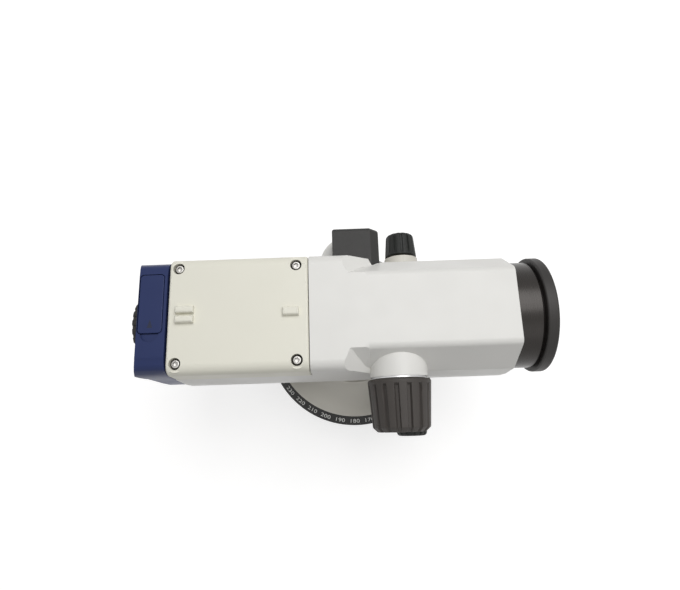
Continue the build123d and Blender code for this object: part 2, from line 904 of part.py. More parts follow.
# Telescope body outlines: half outlines from the top centre down, with corner radii

rear_half = [
    (rear_half_top, top_rise, rear_corner_radius),
    (rear_half_parting, parting_rise, facet_corner_radius),
    (rear_half_side, -side_high_drop, facet_corner_radius),
    (rear_half_side, -side_low_drop, facet_corner_radius),
    (rear_half_bottom, -body_drop, bottom_corner_radius),
]
front_half = [
    (front_half_top, top_rise, front_corner_radius),
    (front_half_shoulder, front_shoulder_rise, facet_corner_radius),
    (front_half_side, -side_high_drop, facet_corner_radius),
    (front_half_side, -side_low_drop, facet_corner_radius),
    (front_half_bottom, -body_drop, bottom_corner_radius),
]
nose_half = [
    *front_half[:-1],
    (front_half_bottom, -body_drop + nose_lift, bottom_corner_radius),
]


def body_outline(station, half, inset=0.0):
    """Rounded outline across the telescope at a station along X."""
    with BuildSketch(Plane.YZ.offset(station)) as outline:
        with BuildLine():
            right = [(y, axis_z + rise) for y, rise, _ in half]
            left = [(-y, z) for y, z in reversed(right)]
            Polyline(*right, *left, close=True)
        make_face()
        for y, rise, radius in half:
            pair = outline.vertices().filter_by(
                lambda v: abs(abs(v.X) - y) < 0.001 and abs(v.Y - axis_z - rise) < 0.001
            )
            fillet(pair, radius)
        if inset:
            offset(amount=-inset, kind=Kind.INTERSECTION, mode=Mode.REPLACE)
    return outline.sketch.face()


body_stations = [
    (body_rear, rear_half),
    (blend_rear, rear_half),
    (blend_front, front_half),
    (nose_start, front_half),
    (body_front, nose_half),
]

with BuildPart() as body_envelope:
    for near, far in zip(body_stations, body_stations[1:]):
        loft([body_outline(*near), body_outline(*far)], ruled=True)

shelf_top = axis_z - shelf_top_drop
shelf_bottom = shelf_top - shelf_thickness
viewer_bottom = shelf_top + viewer_bottom_gap
chamber_floor = body_bottom + chamber_floor_thickness
pinion_inner_y = pinion_outer_y + pinion_width

with BuildPart() as main_housing:
    add(body_envelope.part)
    # Shelf for the circular vial
    with BuildSketch(Plane.XY.offset(shelf_bottom)):
        with Locations(shelf_centre):
            Circle(shelf_radius)
    extrude(amount=shelf_thickness)
    # Focus knob boss
    with BuildSketch(Plane.XZ.offset(-pinion_inner_y)):
        with Locations((focus_x, focus_z)):
            Circle(focus_boss_radius)
    extrude(amount=pinion_inner_y - focus_boss_end)
    # The cover takes the place of the upper shell behind the seam
    with BuildSketch(Plane.XY.offset(parting_z)):
        with Locations(((body_rear + cover_front) / 2 - 10, 0)):
            Rectangle(cover_front - body_rear + 20, 4 * rear_half_side)
    extrude(amount=top_z, mode=Mode.SUBTRACT)
    # Compensator chamber with four screw posts
    with BuildSketch(Plane.XY.offset(chamber_floor)):
        with Locations(((chamber_rear + chamber_front) / 2, 0)):
            RectangleRounded(chamber_front - chamber_rear, 2 * chamber_half_width, 4)
    extrude(amount=top_z, mode=Mode.SUBTRACT)
    with BuildSketch(Plane.XY.offset(chamber_floor)):
        for x_screw in cover_screw_x:
            with Locations((x_screw, cover_screw_y), (x_screw, -cover_screw_y)):
                Circle(cover_boss_radius)
    extrude(amount=parting_z - chamber_floor)
    with BuildSketch(Plane.XY.offset(parting_z)):
        for x_screw in cover_screw_x:
            with Locations((x_screw, cover_screw_y), (x_screw, -cover_screw_y)):
                Circle(cover_screw_radius)
    extrude(amount=-cover_screw_thread_depth, mode=Mode.SUBTRACT)
    # Telescope bore, light holes and the socket's seat
    turn_about_sight(
        [
            (guide_rear, 0),
            (guide_rear, telescope_bore_radius),
            (body_front, telescope_bore_radius),
            (body_front, 0),
        ],
        Mode.SUBTRACT,
    )
    turn_about_sight(
        [
            (chamber_front - 5, 0),
            (chamber_front - 5, front_wall_bore_radius),
            (guide_rear, front_wall_bore_radius),
            (guide_rear, 0),
        ],
        Mode.SUBTRACT,
    )
    turn_about_sight(
        [
            (body_rear, 0),
            (body_rear, rear_wall_bore_radius),
            (chamber_rear + 1, rear_wall_bore_radius),
            (chamber_rear + 1, 0),
        ],
        Mode.SUBTRACT,
    )
    # Groove for the rack and bore for the pinion and its bush
    rack_half_length = focus_travel + rack_margin
    with BuildSketch(Plane.XY.offset(axis_z - rack_base_drop - 1.5)):
        with Locations((focus_x, (pinion_outer_y - 1.2 + pinion_inner_y) / 2)):
            Rectangle(2 * (rack_half_length + focus_travel + 2), pinion_width + 1.2)
    extrude(amount=focus_rise + rack_base_drop, mode=Mode.SUBTRACT)
    with BuildSketch(Plane.XZ.offset(-pinion_inner_y)):
        with Locations((focus_x, focus_z)):
            Circle(focus_bush_radius)
    extrude(amount=pinion_inner_y - focus_boss_end, mode=Mode.SUBTRACT)
    # Pocket for the vial holder, with holes for its adjusting screws
    with BuildSketch(Plane.XY.offset(shelf_top)):
        with Locations(vial_centre):
            Circle(vial_radius + vial_holder_wall + body_gap)
    extrude(amount=-vial_pocket_depth, mode=Mode.SUBTRACT)
    with BuildSketch(Plane.XY.offset(shelf_bottom)):
        with Locations(vial_centre):
            with PolarLocations(vial_screw_circle_radius, 3):
                Circle(vial_screw_radius)
    extrude(amount=shelf_thickness, mode=Mode.SUBTRACT)
    # Blind holes for the spindle screws
    with BuildSketch(Plane.XY.offset(body_bottom)):
        with PolarLocations(spindle_screw_circle_radius, 4, start_angle=45):
            Circle(spindle_screw_radius)
    extrude(amount=spindle_screw_length - 2.0 - 1.2 - neck_floor_thickness + 0.3, mode=Mode.SUBTRACT)

main_housing.part.label = "main_housing"
export_step(main_housing.part, "parts/main_housing.step")


# Compensator cover with the peep sights

cover_end = cover_front - seam_gap

with BuildPart() as compensator_cover:
    extrude(body_outline(body_rear, rear_half), amount=cover_end - body_rear, dir=(1, 0, 0))
    fillet(compensator_cover.faces().sort_by(Axis.X)[0].edges(), cover_edge_radius)
    fillet(compensator_cover.faces().sort_by(Axis.X)[-1].edges(), cover_edge_radius)
    extrude(
        body_outline(body_rear + cover_wall, rear_half, cover_wall),
        amount=cover_end - body_rear - 2 * cover_wall,
        dir=(1, 0, 0),
        mode=Mode.SUBTRACT,
    )
    split(bisect_by=Plane.XY.offset(parting_z), keep=Keep.TOP)
    turn_about_sight(
        [
            (body_rear - 1, 0),
            (body_rear - 1, rear_wall_bore_radius),
            (body_rear + cover_wall + 1, rear_wall_bore_radius),
            (body_rear + cover_wall + 1, 0),
        ],
        Mode.SUBTRACT,
    )
    with BuildSketch(Plane.XY.offset(parting_z)):
        for x_screw in cover_screw_x:
            with Locations((x_screw, cover_screw_y), (x_screw, -cover_screw_y)):
                Circle(cover_boss_radius)
    extrude(amount=top_rise - parting_rise - 1.0)
    with BuildSketch(Plane.XY.offset(parting_z)):
        for x_screw in cover_screw_x:
            with Locations((x_screw, cover_screw_y), (x_screw, -cover_screw_y)):
                Circle(cover_screw_radius)
    extrude(amount=top_rise, mode=Mode.SUBTRACT)
    with BuildSketch(Plane.XY.offset(top_z)):
        for x_screw in cover_screw_x:
            with Locations((x_screw, cover_screw_y), (x_screw, -cover_screw_y)):
                Circle(cover_counterbore_radius)
    extrude(amount=-cover_counterbore_depth, mode=Mode.SUBTRACT)
    with BuildSketch(Plane.XY.offset(top_z - 0.5)):
        with Locations((front_sight_x, 0)):
            Rectangle(front_sight_size[0], front_sight_size[1])
    extrude(amount=front_sight_size[2] + 0.5)
    with BuildSketch(Plane.XY.offset(top_z - 0.5)):
        with Locations((rear_sight_x, rear_sight_spacing / 2), (rear_sight_x, -rear_sight_spacing / 2)):
            Rectangle(rear_sight_size[0], rear_sight_size[1])
    extrude(amount=rear_sight_size[2] + 0.5)
    sight_edges = compensator_cover.edges().filter_by(
        lambda e: e.center().Z > top_z + front_sight_size[2] - 0.1
    )
    fillet(sight_edges, 1.2)

compensator_cover.part.label = "compensator_cover"
export_step(compensator_cover.part, "parts/compensator_cover.step")

screw_seat_z = top_z - cover_counterbore_depth
screw_tip_z = parting_z - cover_screw_thread_depth + 0.5

with BuildPart() as cover_screws:
    for x_screw in cover_screw_x:
        for side in (1, -1):
            turn_about_z(
                [
                    (0, screw_tip_z),
                    (cover_screw_radius, screw_tip_z),
                    (cover_screw_radius, screw_seat_z),
                    (cover_screw_head_radius, screw_seat_z),
                    (cover_screw_head_radius, screw_seat_z + cover_screw_head_height),
                    (0, screw_seat_z + cover_screw_head_height),
                ],
                (x_screw, side * cover_screw_y),
            )
    with BuildSketch(Plane.XY.offset(screw_seat_z + cover_screw_head_height)):
        for x_screw in cover_screw_x:
            with Locations((x_screw, cover_screw_y), (x_screw, -cover_screw_y)):
                RegularPolygon(1.25, 6)
    extrude(amount=-1.3, mode=Mode.SUBTRACT)

cover_screws.part.label = "cover_screws"
export_step(cover_screws.part, "parts/cover_screws.step")


# Rear cap with the hatch over the reticle screw and the recess for the eyepiece ring

cap_front = body_rear - cap_seam
cap_half = [
    (cap_half_top, top_rise, cap_top_corner_radius),
    (cap_half_shoulder, cap_face_top_rise, facet_corner_radius),
    (cap_half_side, -side_high_drop, facet_corner_radius),
    (cap_half_side, -side_low_drop, facet_corner_radius),
    (rear_half_bottom - 1.0, -body_drop, bottom_corner_radius),
]

cap_face_top = axis_z + cap_face_top_rise
cap_face_low = axis_z - cap_face_low_drop


def face_through(point, normal):
    return Plane(origin=point, z_dir=normal)


with BuildPart() as cap_envelope:
    extrude(body_outline(cap_front, cap_half), amount=cap_front - cap_rear, dir=(-1, 0, 0))
    shoulder_slope = face_through(
        (cap_top_rear, 0, top_z), (cap_face_top - top_z, 0, cap_top_rear - cap_rear)
    )
    split(bisect_by=shoulder_slope, keep=Keep.BOTTOM)
    heel_slope = face_through(
        (cap_heel, 0, body_bottom), (body_bottom - cap_face_low, 0, cap_rear - cap_heel)
    )
    split(bisect_by=heel_slope, keep=Keep.BOTTOM)
    for side in (1, -1):
        corner_slope = face_through(
            (cap_rear, side * (cap_half_side - cap_corner_cut), axis_z), (-1, side, 0)
        )
        split(bisect_by=corner_slope, keep=Keep.BOTTOM)

door_gap_outline = ((door_rear + door_front) / 2, (door_left + door_right) / 2)
door_size = (door_front - door_rear, door_left - door_right)

with BuildPart() as rear_cap:
    add(cap_envelope.part)
    extrude(
        body_outline(cap_front, cap_half, cap_wall),
        amount=cap_front - cap_pocket_rear,
        dir=(-1, 0, 0),
        mode=Mode.SUBTRACT,
    )
    # Seat of the hatch door, the opening under it and the finger notch
    with BuildSketch(Plane.XY.offset(top_z - door_thickness)):
        with Locations(door_gap_outline):
            RectangleRounded(
                door_size[0] + 2 * seam_gap, door_size[1] + 2 * seam_gap, door_corner_radius + seam_gap
            )
    extrude(amount=2 * door_thickness, mode=Mode.SUBTRACT)
    with BuildSketch(Plane.XY.offset(top_z - 2 * cap_wall)):
        with Locations(door_gap_outline):
            RectangleRounded(door_size[0] - 2 * door_ledge, door_size[1] - 2 * door_ledge, 1.0)
    extrude(amount=2 * cap_wall, mode=Mode.SUBTRACT)
    with BuildSketch(Plane.XY.offset(top_z - notch_depth)):
        with Locations((door_gap_outline[0], door_right)):
            Circle(notch_radius)
    extrude(amount=notch_depth, mode=Mode.SUBTRACT)
    turn_about_sight(
        [
            (cap_rear - 1, 0),
            (cap_rear - 1, cap_recess_radius),
            (cap_recess_front, cap_recess_radius),
            (cap_recess_front, cap_eyepiece_hole_radius),
            (cap_pocket_rear + 1, cap_eyepiece_hole_radius),
            (cap_pocket_rear + 1, 0),
        ],
        Mode.SUBTRACT,
    )

rear_cap.part.label = "rear_cap"
export_step(rear_cap.part, "parts/rear_cap.step")

with BuildPart() as hatch_door:
    with BuildSketch(Plane.XY.offset(top_z - door_thickness)):
        with Locations(door_gap_outline):
            RectangleRounded(door_size[0], door_size[1], door_corner_radius)
    extrude(amount=door_thickness)
    add(cap_envelope.part, mode=Mode.INTERSECT)
    with BuildSketch(Plane.XY.offset(top_z - notch_depth)):
        with Locations((door_gap_outline[0], door_right)):
            Circle(notch_radius)
    extrude(amount=notch_depth, mode=Mode.SUBTRACT)

hatch_door.part.label = "hatch_door"
export_step(hatch_door.part, "parts/hatch_door.step")


# Objective: barrel, rim, two lenses and their retainer

barrel_nose_front = barrel_front + barrel_nose_length
retainer_rear = objective_front_x + lens_gap

with BuildPart() as objective_barrel:
    turn_about_sight(
        [
            (body_front - barrel_spigot_length, barrel_bore_radius),
            (body_front - barrel_spigot_length, telescope_bore_radius),
            (body_front, telescope_bore_radius),
            (body_front, barrel_radius - 0.4),
            (body_front + 0.4, barrel_radius),
            (barrel_front - 0.4, barrel_radius),
            (barrel_front, barrel_radius - 0.4),
            (barrel_front, barrel_neck_radius),
            (barrel_front + groove_width, barrel_neck_radius),
            (barrel_front + groove_width, barrel_nose_radius),
            (barrel_nose_front, barrel_nose_radius),
            (barrel_nose_front, rim_mouth_radius),
            (retainer_rear + retainer_width, lens_seat_radius),
            (rear_lens_front - objective_rear_thickness, lens_seat_radius),
            (rear_lens_front - objective_rear_thickness, barrel_bore_radius),
        ]
    )

objective_barrel.part.label = "objective_barrel"
export_step(objective_barrel.part, "parts/objective_barrel.step")

with BuildPart() as objective_rim:
    turn_about_sight(
        [
            (barrel_front + groove_width, barrel_nose_radius),
            (barrel_front + groove_width, rim_radius),
            (rim_front, rim_radius),
            (rim_front, rim_mouth_radius + 0.6),
            (barrel_nose_front, rim_mouth_radius),
            (barrel_nose_front, barrel_nose_radius),
        ]
    )
    fillet(
        objective_rim.edges().filter_by(GeomType.CIRCLE).filter_by(lambda e: e.radius > rim_radius - 0.01),
        rim_edge_radius,
    )

objective_rim.part.label = "objective_rim"
export_step(objective_rim.part, "parts/objective_rim.step")


def lens(front_x, thickness, radius, front_rise, rear_rise):
    """Lens about the line of sight with flat lands; a rise bulges outwards and a negative one is hollow."""
    clear_radius = radius - lens_land
    rear_x = front_x - thickness

    def on_sphere(edge_x, rise):
        """Point of the spherical face half way between the land and the axis."""
        sphere_radius = (clear_radius**2 + rise**2) / (2 * rise)
        depth = sphere_radius - math.copysign(math.sqrt(sphere_radius**2 - clear_radius**2 / 4), rise)
        return (edge_x + rise - depth, axis_z + clear_radius / 2)

    with BuildSketch(Plane.XZ) as profile:
        with BuildLine():
            Polyline(
                (rear_x, axis_z + clear_radius),
                (rear_x, axis_z + radius),
                (front_x, axis_z + radius),
                (front_x, axis_z + clear_radius),
            )
            ThreePointArc(
                (front_x, axis_z + clear_radius),
                on_sphere(front_x, front_rise),
                (front_x + front_rise, axis_z),
            )
            Line((front_x + front_rise, axis_z), (rear_x - rear_rise, axis_z))
            ThreePointArc(
                (rear_x - rear_rise, axis_z),
                on_sphere(rear_x, -rear_rise),
                (rear_x, axis_z + clear_radius),
            )
        make_face()
    revolve(profile.sketch, axis=sight_axis)



with BuildPart() as objective_lenses:
    lens(objective_front_x, objective_lens_thickness, lens_seat_radius, 1.6, -0.6)
    lens(rear_lens_front, objective_rear_thickness, lens_seat_radius, -0.9, 0.4)

objective_lenses.part.label = "objective_lenses"
export_step(objective_lenses.part, "parts/objective_lenses.step")

with BuildPart() as objective_retainer:
    turn_about_sight(
        [
            (objective_front_x + 0.05, lens_seat_radius - retainer_wall),
            (objective_front_x + 0.05, lens_seat_radius),
            (retainer_rear + retainer_width - 0.2, lens_seat_radius),
            (retainer_rear + retainer_width - 0.2, lens_seat_radius - retainer_wall),
        ]
    )

objective_retainer.part.label = "objective_retainer"
export_step(objective_retainer.part, "parts/objective_retainer.step")


# Focusing: guide tube, cell with its rack, lens, pinion, bush and knob

slot_low_z = axis_z - rack_base_drop - 0.6
slot_high_z = focus_z - pinion_module * pinion_teeth / 2 + 3.2

with BuildPart() as focus_guide_tube:
    turn_about_sight(
        [
            (guide_rear, guide_bore_radius),
            (guide_rear, telescope_bore_radius),
            (guide_rear + guide_flange_width, telescope_bore_radius),
            (guide_rear + guide_flange_width, guide_outer_radius),
            (guide_front - guide_flange_width, guide_outer_radius),
            (guide_front - guide_flange_width, telescope_bore_radius),
            (guide_front, telescope_bore_radius),
            (guide_front, guide_bore_radius),
        ]
    )
    with BuildSketch(Plane.XY.offset(slot_low_z)):
        with Locations((focus_x, -guide_outer_radius)):
            Rectangle(2 * (rack_half_length + focus_travel + 1), 2 * (guide_outer_radius - 12.0))
    extrude(amount=slot_high_z - slot_low_z, mode=Mode.SUBTRACT)

focus_guide_tube.part.label = "focus_guide_tube"
export_step(focus_guide_tube.part, "parts/focus_guide_tube.step")

cell_radius = guide_bore_radius - running_fit
cell_front = cell_rear + cell_length
pitch_line_z = focus_z - pinion_module * pinion_teeth / 2

with BuildPart() as focus_cell:
    turn_about_sight(
        [
            (cell_rear, cell_radius - cell_wall),
            (cell_rear, cell_radius),
            (cell_front, cell_radius),
            (cell_front, cell_radius - cell_wall),
        ]
    )
    with BuildSketch(Plane.XY.offset(axis_z - cell_radius)):
        with Locations(((cell_rear + cell_front) / 2, -cell_radius - 5 + (cell_radius + pinion_inner_y))):
            Rectangle(cell_length, 10)
    extrude(amount=2 * cell_radius, mode=Mode.SUBTRACT)

focus_cell.part.label = "focus_cell"
export_step(focus_cell.part, "parts/focus_cell.step")

rack_teeth = int(2 * rack_half_length / (math.pi * pinion_module)) // 2 * 2 + 1

with BuildPart() as focus_rack:
    with BuildSketch(Plane.XZ.offset(-pinion_inner_y)):
        with BuildLine():
            rack_pitch = math.pi * pinion_module
            flank = math.tan(math.radians(20))
            addendum = 0.85 * pinion_module
            dedendum = 1.1 * pinion_module
            half_gap = rack_pitch / 4 + tooth_backlash / 4
            rack_corners = [(focus_x - rack_teeth * rack_pitch / 2, axis_z - rack_base_drop)]
            for tooth in range(rack_teeth):
                gap_x = focus_x + (tooth - (rack_teeth - 1) / 2) * rack_pitch
                rack_corners += [
                    (gap_x - half_gap - addendum * flank, pitch_line_z + addendum),
                    (gap_x - half_gap + dedendum * flank, pitch_line_z - dedendum),
                    (gap_x + half_gap - dedendum * flank, pitch_line_z - dedendum),
                    (gap_x + half_gap + addendum * flank, pitch_line_z + addendum),
                ]
            rack_corners.append((focus_x + rack_teeth * rack_pitch / 2, axis_z - rack_base_drop))
            Polyline(*rack_corners, close=True)
        make_face()
    extrude(amount=pinion_width)

focus_rack.part.label = "focus_rack"
export_step(focus_rack.part, "parts/focus_rack.step")

with BuildPart() as focus_lens:
    focus_lens_front = (cell_rear + cell_front + focus_lens_thickness) / 2
    lens(focus_lens_front, focus_lens_thickness, cell_radius - cell_wall, -1.5, -1.2)

focus_lens.part.label = "focus_lens"
export_step(focus_lens.part, "parts/focus_lens.step")

shaft_end_y = focus_knob_start - focus_knob_socket_depth

with BuildPart() as focus_pinion:
    with BuildSketch(Plane.XZ.offset(-pinion_inner_y)):
        with BuildLine():
            outline = gear_outline(
                pinion_module, pinion_teeth, 0.85 * pinion_module, 1.1 * pinion_module, tooth_backlash
            )
            # Turned a quarter, so that a tooth points down into the rack
            Polyline(*[(focus_x + z, focus_z - x) for x, z in outline], close=True)
        make_face()
    extrude(amount=pinion_width)
    turn_about_y(
        [
            (pinion_outer_y, 0),
            (pinion_outer_y, focus_shaft_radius),
            (shaft_end_y, focus_shaft_radius),
            (shaft_end_y, 0),
        ],
        focus_axis,
    )

focus_pinion.part.label = "focus_pinion"
export_step(focus_pinion.part, "parts/focus_pinion.step")

with BuildPart() as focus_bush:
    turn_about_y(
        [
            (focus_bush_rear_y, focus_shaft_radius + running_fit),
            (focus_bush_rear_y, focus_bush_radius),
            (focus_boss_end, focus_bush_radius),
            (focus_boss_end, focus_bush_flange_radius),
            (focus_boss_end - focus_bush_flange, focus_bush_flange_radius),
            (focus_boss_end - focus_bush_flange, focus_shaft_radius + running_fit),
        ],
        focus_axis,
    )

focus_bush.part.label = "focus_bush"
export_step(focus_bush.part, "parts/focus_bush.step")

with BuildPart() as focus_knob:
    turn_about_y(
        [
            (focus_knob_start, 0),
            (focus_knob_start, focus_knob_radius - 0.8),
            (focus_knob_start - 0.8, focus_knob_radius),
            (focus_knob_end + focus_knob_bevel, focus_knob_tip_radius + 0.2),
            (focus_knob_end, focus_knob_tip_radius - focus_knob_bevel),
            (focus_knob_end, 0),
        ],
        focus_axis,
    )
    flute_plane = Plane(
        (focus_x, focus_knob_start - focus_knob_plain_band, focus_z), x_dir=(1, 0, 0), z_dir=(0, -1, 0)
    )
    with BuildSketch(flute_plane):
        with PolarLocations(focus_knob_radius - 0.2, focus_knob_flutes):
            Circle(focus_knob_flute_radius)
    extrude(amount=focus_knob_start - focus_knob_end, mode=Mode.SUBTRACT)
    turn_about_y(
        [
            (focus_knob_start, 0),
            (focus_knob_start, focus_shaft_radius),
            (shaft_end_y, focus_shaft_radius),
            (shaft_end_y, 0),
        ],
        focus_axis,
        Mode.SUBTRACT,
    )

focus_knob.part.label = "focus_knob"
export_step(focus_knob.part, "parts/focus_knob.step")


# Compensator: frame, two fixed prisms, pendulum on crossed tapes with its prism, and damping magnets

frame_inner = prism_half_width
frame_outer = prism_half_width + frame_plate_thickness
frame_top = axis_z + frame_top_rise
prism_low_z = axis_z - prism_size / 2
prism_high_z = axis_z + prism_size / 2
pendulum_bottom = axis_z - pendulum_bottom_drop
pendulum_top = axis_z + pendulum_top_rise

with BuildPart() as compensator_frame:
    with BuildSketch(Plane.XY.offset(chamber_floor)):
        with Locations(((frame_rear + frame_front) / 2, 0)):
            Rectangle(frame_front - frame_rear, 2 * frame_outer)
            Rectangle(frame_front - frame_rear, 2 * frame_inner, mode=Mode.SUBTRACT)
    extrude(amount=frame_top - chamber_floor)
    with BuildSketch(Plane.XY.offset(frame_top - frame_bar_thickness)):
        with Locations((pendulum_x, 0)):
            Rectangle(frame_bar_length, 2 * frame_outer)
    extrude(amount=frame_bar_thickness)

compensator_frame.part.label = "compensator_frame"
export_step(compensator_frame.part, "parts/compensator_frame.step")

with BuildPart() as fixed_prisms:
    for tip_x, inward in ((front_prism_x, -1), (rear_prism_x, 1)):
        with BuildSketch(Plane.XZ.offset(-prism_half_width)):
            with BuildLine():
                Polyline(
                    (tip_x, prism_low_z),
                    (tip_x, prism_high_z),
                    (tip_x + inward * prism_size, prism_low_z),
                    close=True,
                )
            make_face()
        extrude(amount=2 * prism_half_width)

fixed_prisms.part.label = "fixed_prisms"
export_step(fixed_prisms.part, "parts/fixed_prisms.step")

with BuildPart() as pendulum:
    with BuildSketch(Plane.XY.offset(pendulum_bottom)):
        with Locations((pendulum_x, 0)):
            Rectangle(2 * pendulum_half_length, 2 * pendulum_half_width)
    extrude(amount=pendulum_plate_thickness)
    with BuildSketch(Plane.XY.offset(pendulum_bottom)):
        with Locations((pendulum_x, 0)):
            Rectangle(2 * pendulum_strap_half_length, 2 * pendulum_half_width)
            Rectangle(
                2 * pendulum_strap_half_length,
                2 * (pendulum_half_width - pendulum_strap_thickness),
                mode=Mode.SUBTRACT,
            )
    extrude(amount=pendulum_top - pendulum_bottom)
    with BuildSketch(Plane.XY.offset(pendulum_top - pendulum_plate_thickness)):
        with Locations((pendulum_x, 0)):
            Rectangle(2 * pendulum_strap_half_length, 2 * pendulum_half_width)
    extrude(amount=pendulum_plate_thickness)

pendulum.part.label = "pendulum"
export_step(pendulum.part, "parts/pendulum.step")

with BuildPart() as pendulum_prism:
    prism_inner_half = pendulum_half_width - pendulum_strap_thickness
    prism_base_z = pendulum_bottom + pendulum_plate_thickness
    with BuildSketch(Plane.XZ.offset(-prism_inner_half)):
        with BuildLine():
            Polyline(
                (pendulum_x - pendulum_half_length, prism_base_z),
                (pendulum_x - pendulum_half_length, prism_base_z + 2.0),
                (pendulum_x - pendulum_strap_half_length, prism_base_z + pendulum_prism_height),
                (pendulum_x + pendulum_strap_half_length, prism_base_z + pendulum_prism_height),
                (pendulum_x + pendulum_half_length, prism_base_z + 2.0),
                (pendulum_x + pendulum_half_length, prism_base_z),
                close=True,
            )
        make_face()
    extrude(amount=2 * prism_inner_half)

pendulum_prism.part.label = "pendulum_prism"
export_step(pendulum_prism.part, "parts/pendulum_prism.step")

with BuildPart() as suspension_tapes:
    with BuildSketch(Plane.XY.offset(pendulum_top + tape_gap)):
        with Locations(
            *[
                (pendulum_x + dx, dy)
                for dx in (-tape_spread, tape_spread)
                for dy in (-pendulum_half_width + 2, pendulum_half_width - 2)
            ]
        ):
            Rectangle(tape_thickness, tape_width)
    extrude(amount=frame_top - frame_bar_thickness - pendulum_top - tape_gap)

suspension_tapes.part.label = "suspension_tapes"
export_step(suspension_tapes.part, "parts/suspension_tapes.step")

with BuildPart() as damping_magnets:
    with BuildSketch(Plane.XY.offset(chamber_floor)):
        with Locations((pendulum_x, -magnet_radius - 0.5), (pendulum_x, magnet_radius + 0.5)):
            Circle(magnet_radius)
    extrude(amount=pendulum_bottom - magnet_gap - chamber_floor)

damping_magnets.part.label = "damping_magnets"
export_step(damping_magnets.part, "parts/damping_magnets.step")


# Reticle in its mount, inside the eyepiece socket

reticle_screw_x = reticle_mount_rear + reticle_mount_thickness / 2

with BuildPart() as eyepiece_socket:
    turn_about_sight(
        [
            (socket_rear, eyepiece_cell_radius + running_fit),
            (socket_rear, rear_wall_bore_radius),
            (socket_front, rear_wall_bore_radius),
            (socket_front, socket_chamber_radius),
            (socket_rear + socket_guide_length, socket_chamber_radius),
            (socket_rear + socket_guide_length, eyepiece_cell_radius + running_fit),
        ]
    )
    with BuildSketch(Plane.XY.offset(axis_z)):
        with Locations((reticle_screw_x, 0)):
            Circle(reticle_screw_radius)
    extrude(amount=2 * rear_wall_bore_radius, both=True, mode=Mode.SUBTRACT)

eyepiece_socket.part.label = "eyepiece_socket"
export_step(eyepiece_socket.part, "parts/eyepiece_socket.step")

with BuildPart() as reticle_mount:
    turn_about_sight(
        [
            (reticle_mount_rear, reticle_glass_radius),
            (reticle_mount_rear, reticle_mount_radius),
            (reticle_mount_rear + reticle_mount_thickness, reticle_mount_radius),
            (reticle_mount_rear + reticle_mount_thickness, reticle_glass_radius),
        ]
    )

reticle_mount.part.label = "reticle_mount"
export_step(reticle_mount.part, "parts/reticle_mount.step")

with BuildPart() as reticle:
    with BuildSketch(Plane.YZ.offset(reticle_screw_x - reticle_glass_thickness / 2)):
        with Locations((0, axis_z)):
            Circle(reticle_glass_radius)
    extrude(amount=reticle_glass_thickness)

reticle.part.label = "reticle"
export_step(reticle.part, "parts/reticle.step")

reticle_head_z = axis_z + reticle_screw_top_rise - reticle_screw_head_height

with BuildPart() as reticle_screws:
    turn_about_z(
        [
            (0, axis_z + reticle_mount_radius + 0.02),
            (reticle_screw_radius, axis_z + reticle_mount_radius + 0.02),
            (reticle_screw_radius, reticle_head_z),
            (reticle_screw_head_radius, reticle_head_z),
            (reticle_screw_head_radius, reticle_head_z + reticle_screw_head_height),
            (0, reticle_head_z + reticle_screw_head_height),
        ],
        (reticle_screw_x, 0),
    )
    with BuildSketch(Plane.XY.offset(reticle_head_z + reticle_screw_head_height)):
        with Locations((reticle_screw_x, 0)):
            RegularPolygon(1.3, 6)
    extrude(amount=-1.4, mode=Mode.SUBTRACT)
    turn_about_z(
        [
            (0, axis_z - reticle_mount_radius - 0.02),
            (reticle_screw_radius, axis_z - reticle_mount_radius - 0.02),
            (reticle_screw_radius, axis_z - rear_wall_bore_radius - 2.0),
            (0, axis_z - rear_wall_bore_radius - 2.0),
        ],
        (reticle_screw_x, 0),
    )

reticle_screws.part.label = "reticle_screws"
export_step(reticle_screws.part, "parts/reticle_screws.step")


# Eyepiece: sliding cell with its lenses and eyecup, moved by the fluted dioptre ring

with BuildPart() as eyepiece_cell:
    turn_about_sight(
        [
            (eyepiece_cell_rear, eyepiece_bore_radius),
            (eyepiece_cell_rear, eyepiece_cell_radius),
            (eyepiece_cell_front, eyepiece_cell_radius),
            (eyepiece_cell_front, eyepiece_bore_radius),
        ]
    )

eyepiece_cell.part.label = "eyepiece_cell"
export_step(eyepiece_cell.part, "parts/eyepiece_cell.step")

with BuildPart() as eyepiece_lenses:
    lens(eyepiece_cell_rear + 4.6, eye_lens_thickness, eyepiece_bore_radius, 0.8, 0.4)
    lens(eyepiece_cell_front - 0.6, field_lens_thickness, eyepiece_bore_radius, 0.5, 0.6)

eyepiece_lenses.part.label = "eyepiece_lenses"
export_step(eyepiece_lenses.part, "parts/eyepiece_lenses.step")

with BuildPart() as eyepiece_ring:
    turn_about_sight(
        [
            (ring_front, eyepiece_cell_radius + running_fit),
            (ring_front, ring_radius - 0.6),
            (ring_front - 0.6, ring_radius),
            (eyepiece_end + 0.8, ring_radius),
            (eyepiece_end, ring_radius - 0.8),
            (eyepiece_end, eyepiece_cell_radius + running_fit),
        ]
    )
    with BuildSketch(Plane.YZ.offset(ring_front - 1.6)):
        with Locations((0, axis_z)):
            with PolarLocations(ring_radius + 0.2, ring_flutes):
                Circle(ring_flute_radius)
    extrude(amount=-(ring_front - eyepiece_end), mode=Mode.SUBTRACT)

eyepiece_ring.part.label = "eyepiece_ring"
export_step(eyepiece_ring.part, "parts/eyepiece_ring.step")

with BuildPart() as eyecup:
    turn_about_sight(
        [
            (eyepiece_cell_rear, eyecup_mouth_radius),
            (eyepiece_cell_rear, eyecup_radius),
            (eyepiece_end, eyecup_radius),
            (eyepiece_end, eyecup_mouth_radius + 2.5),
        ]
    )

eyecup.part.label = "eyecup"
export_step(eyecup.part, "parts/eyecup.step")


# Circular bubble: holder, vial, adjusting screws and the viewer with its window and mirror

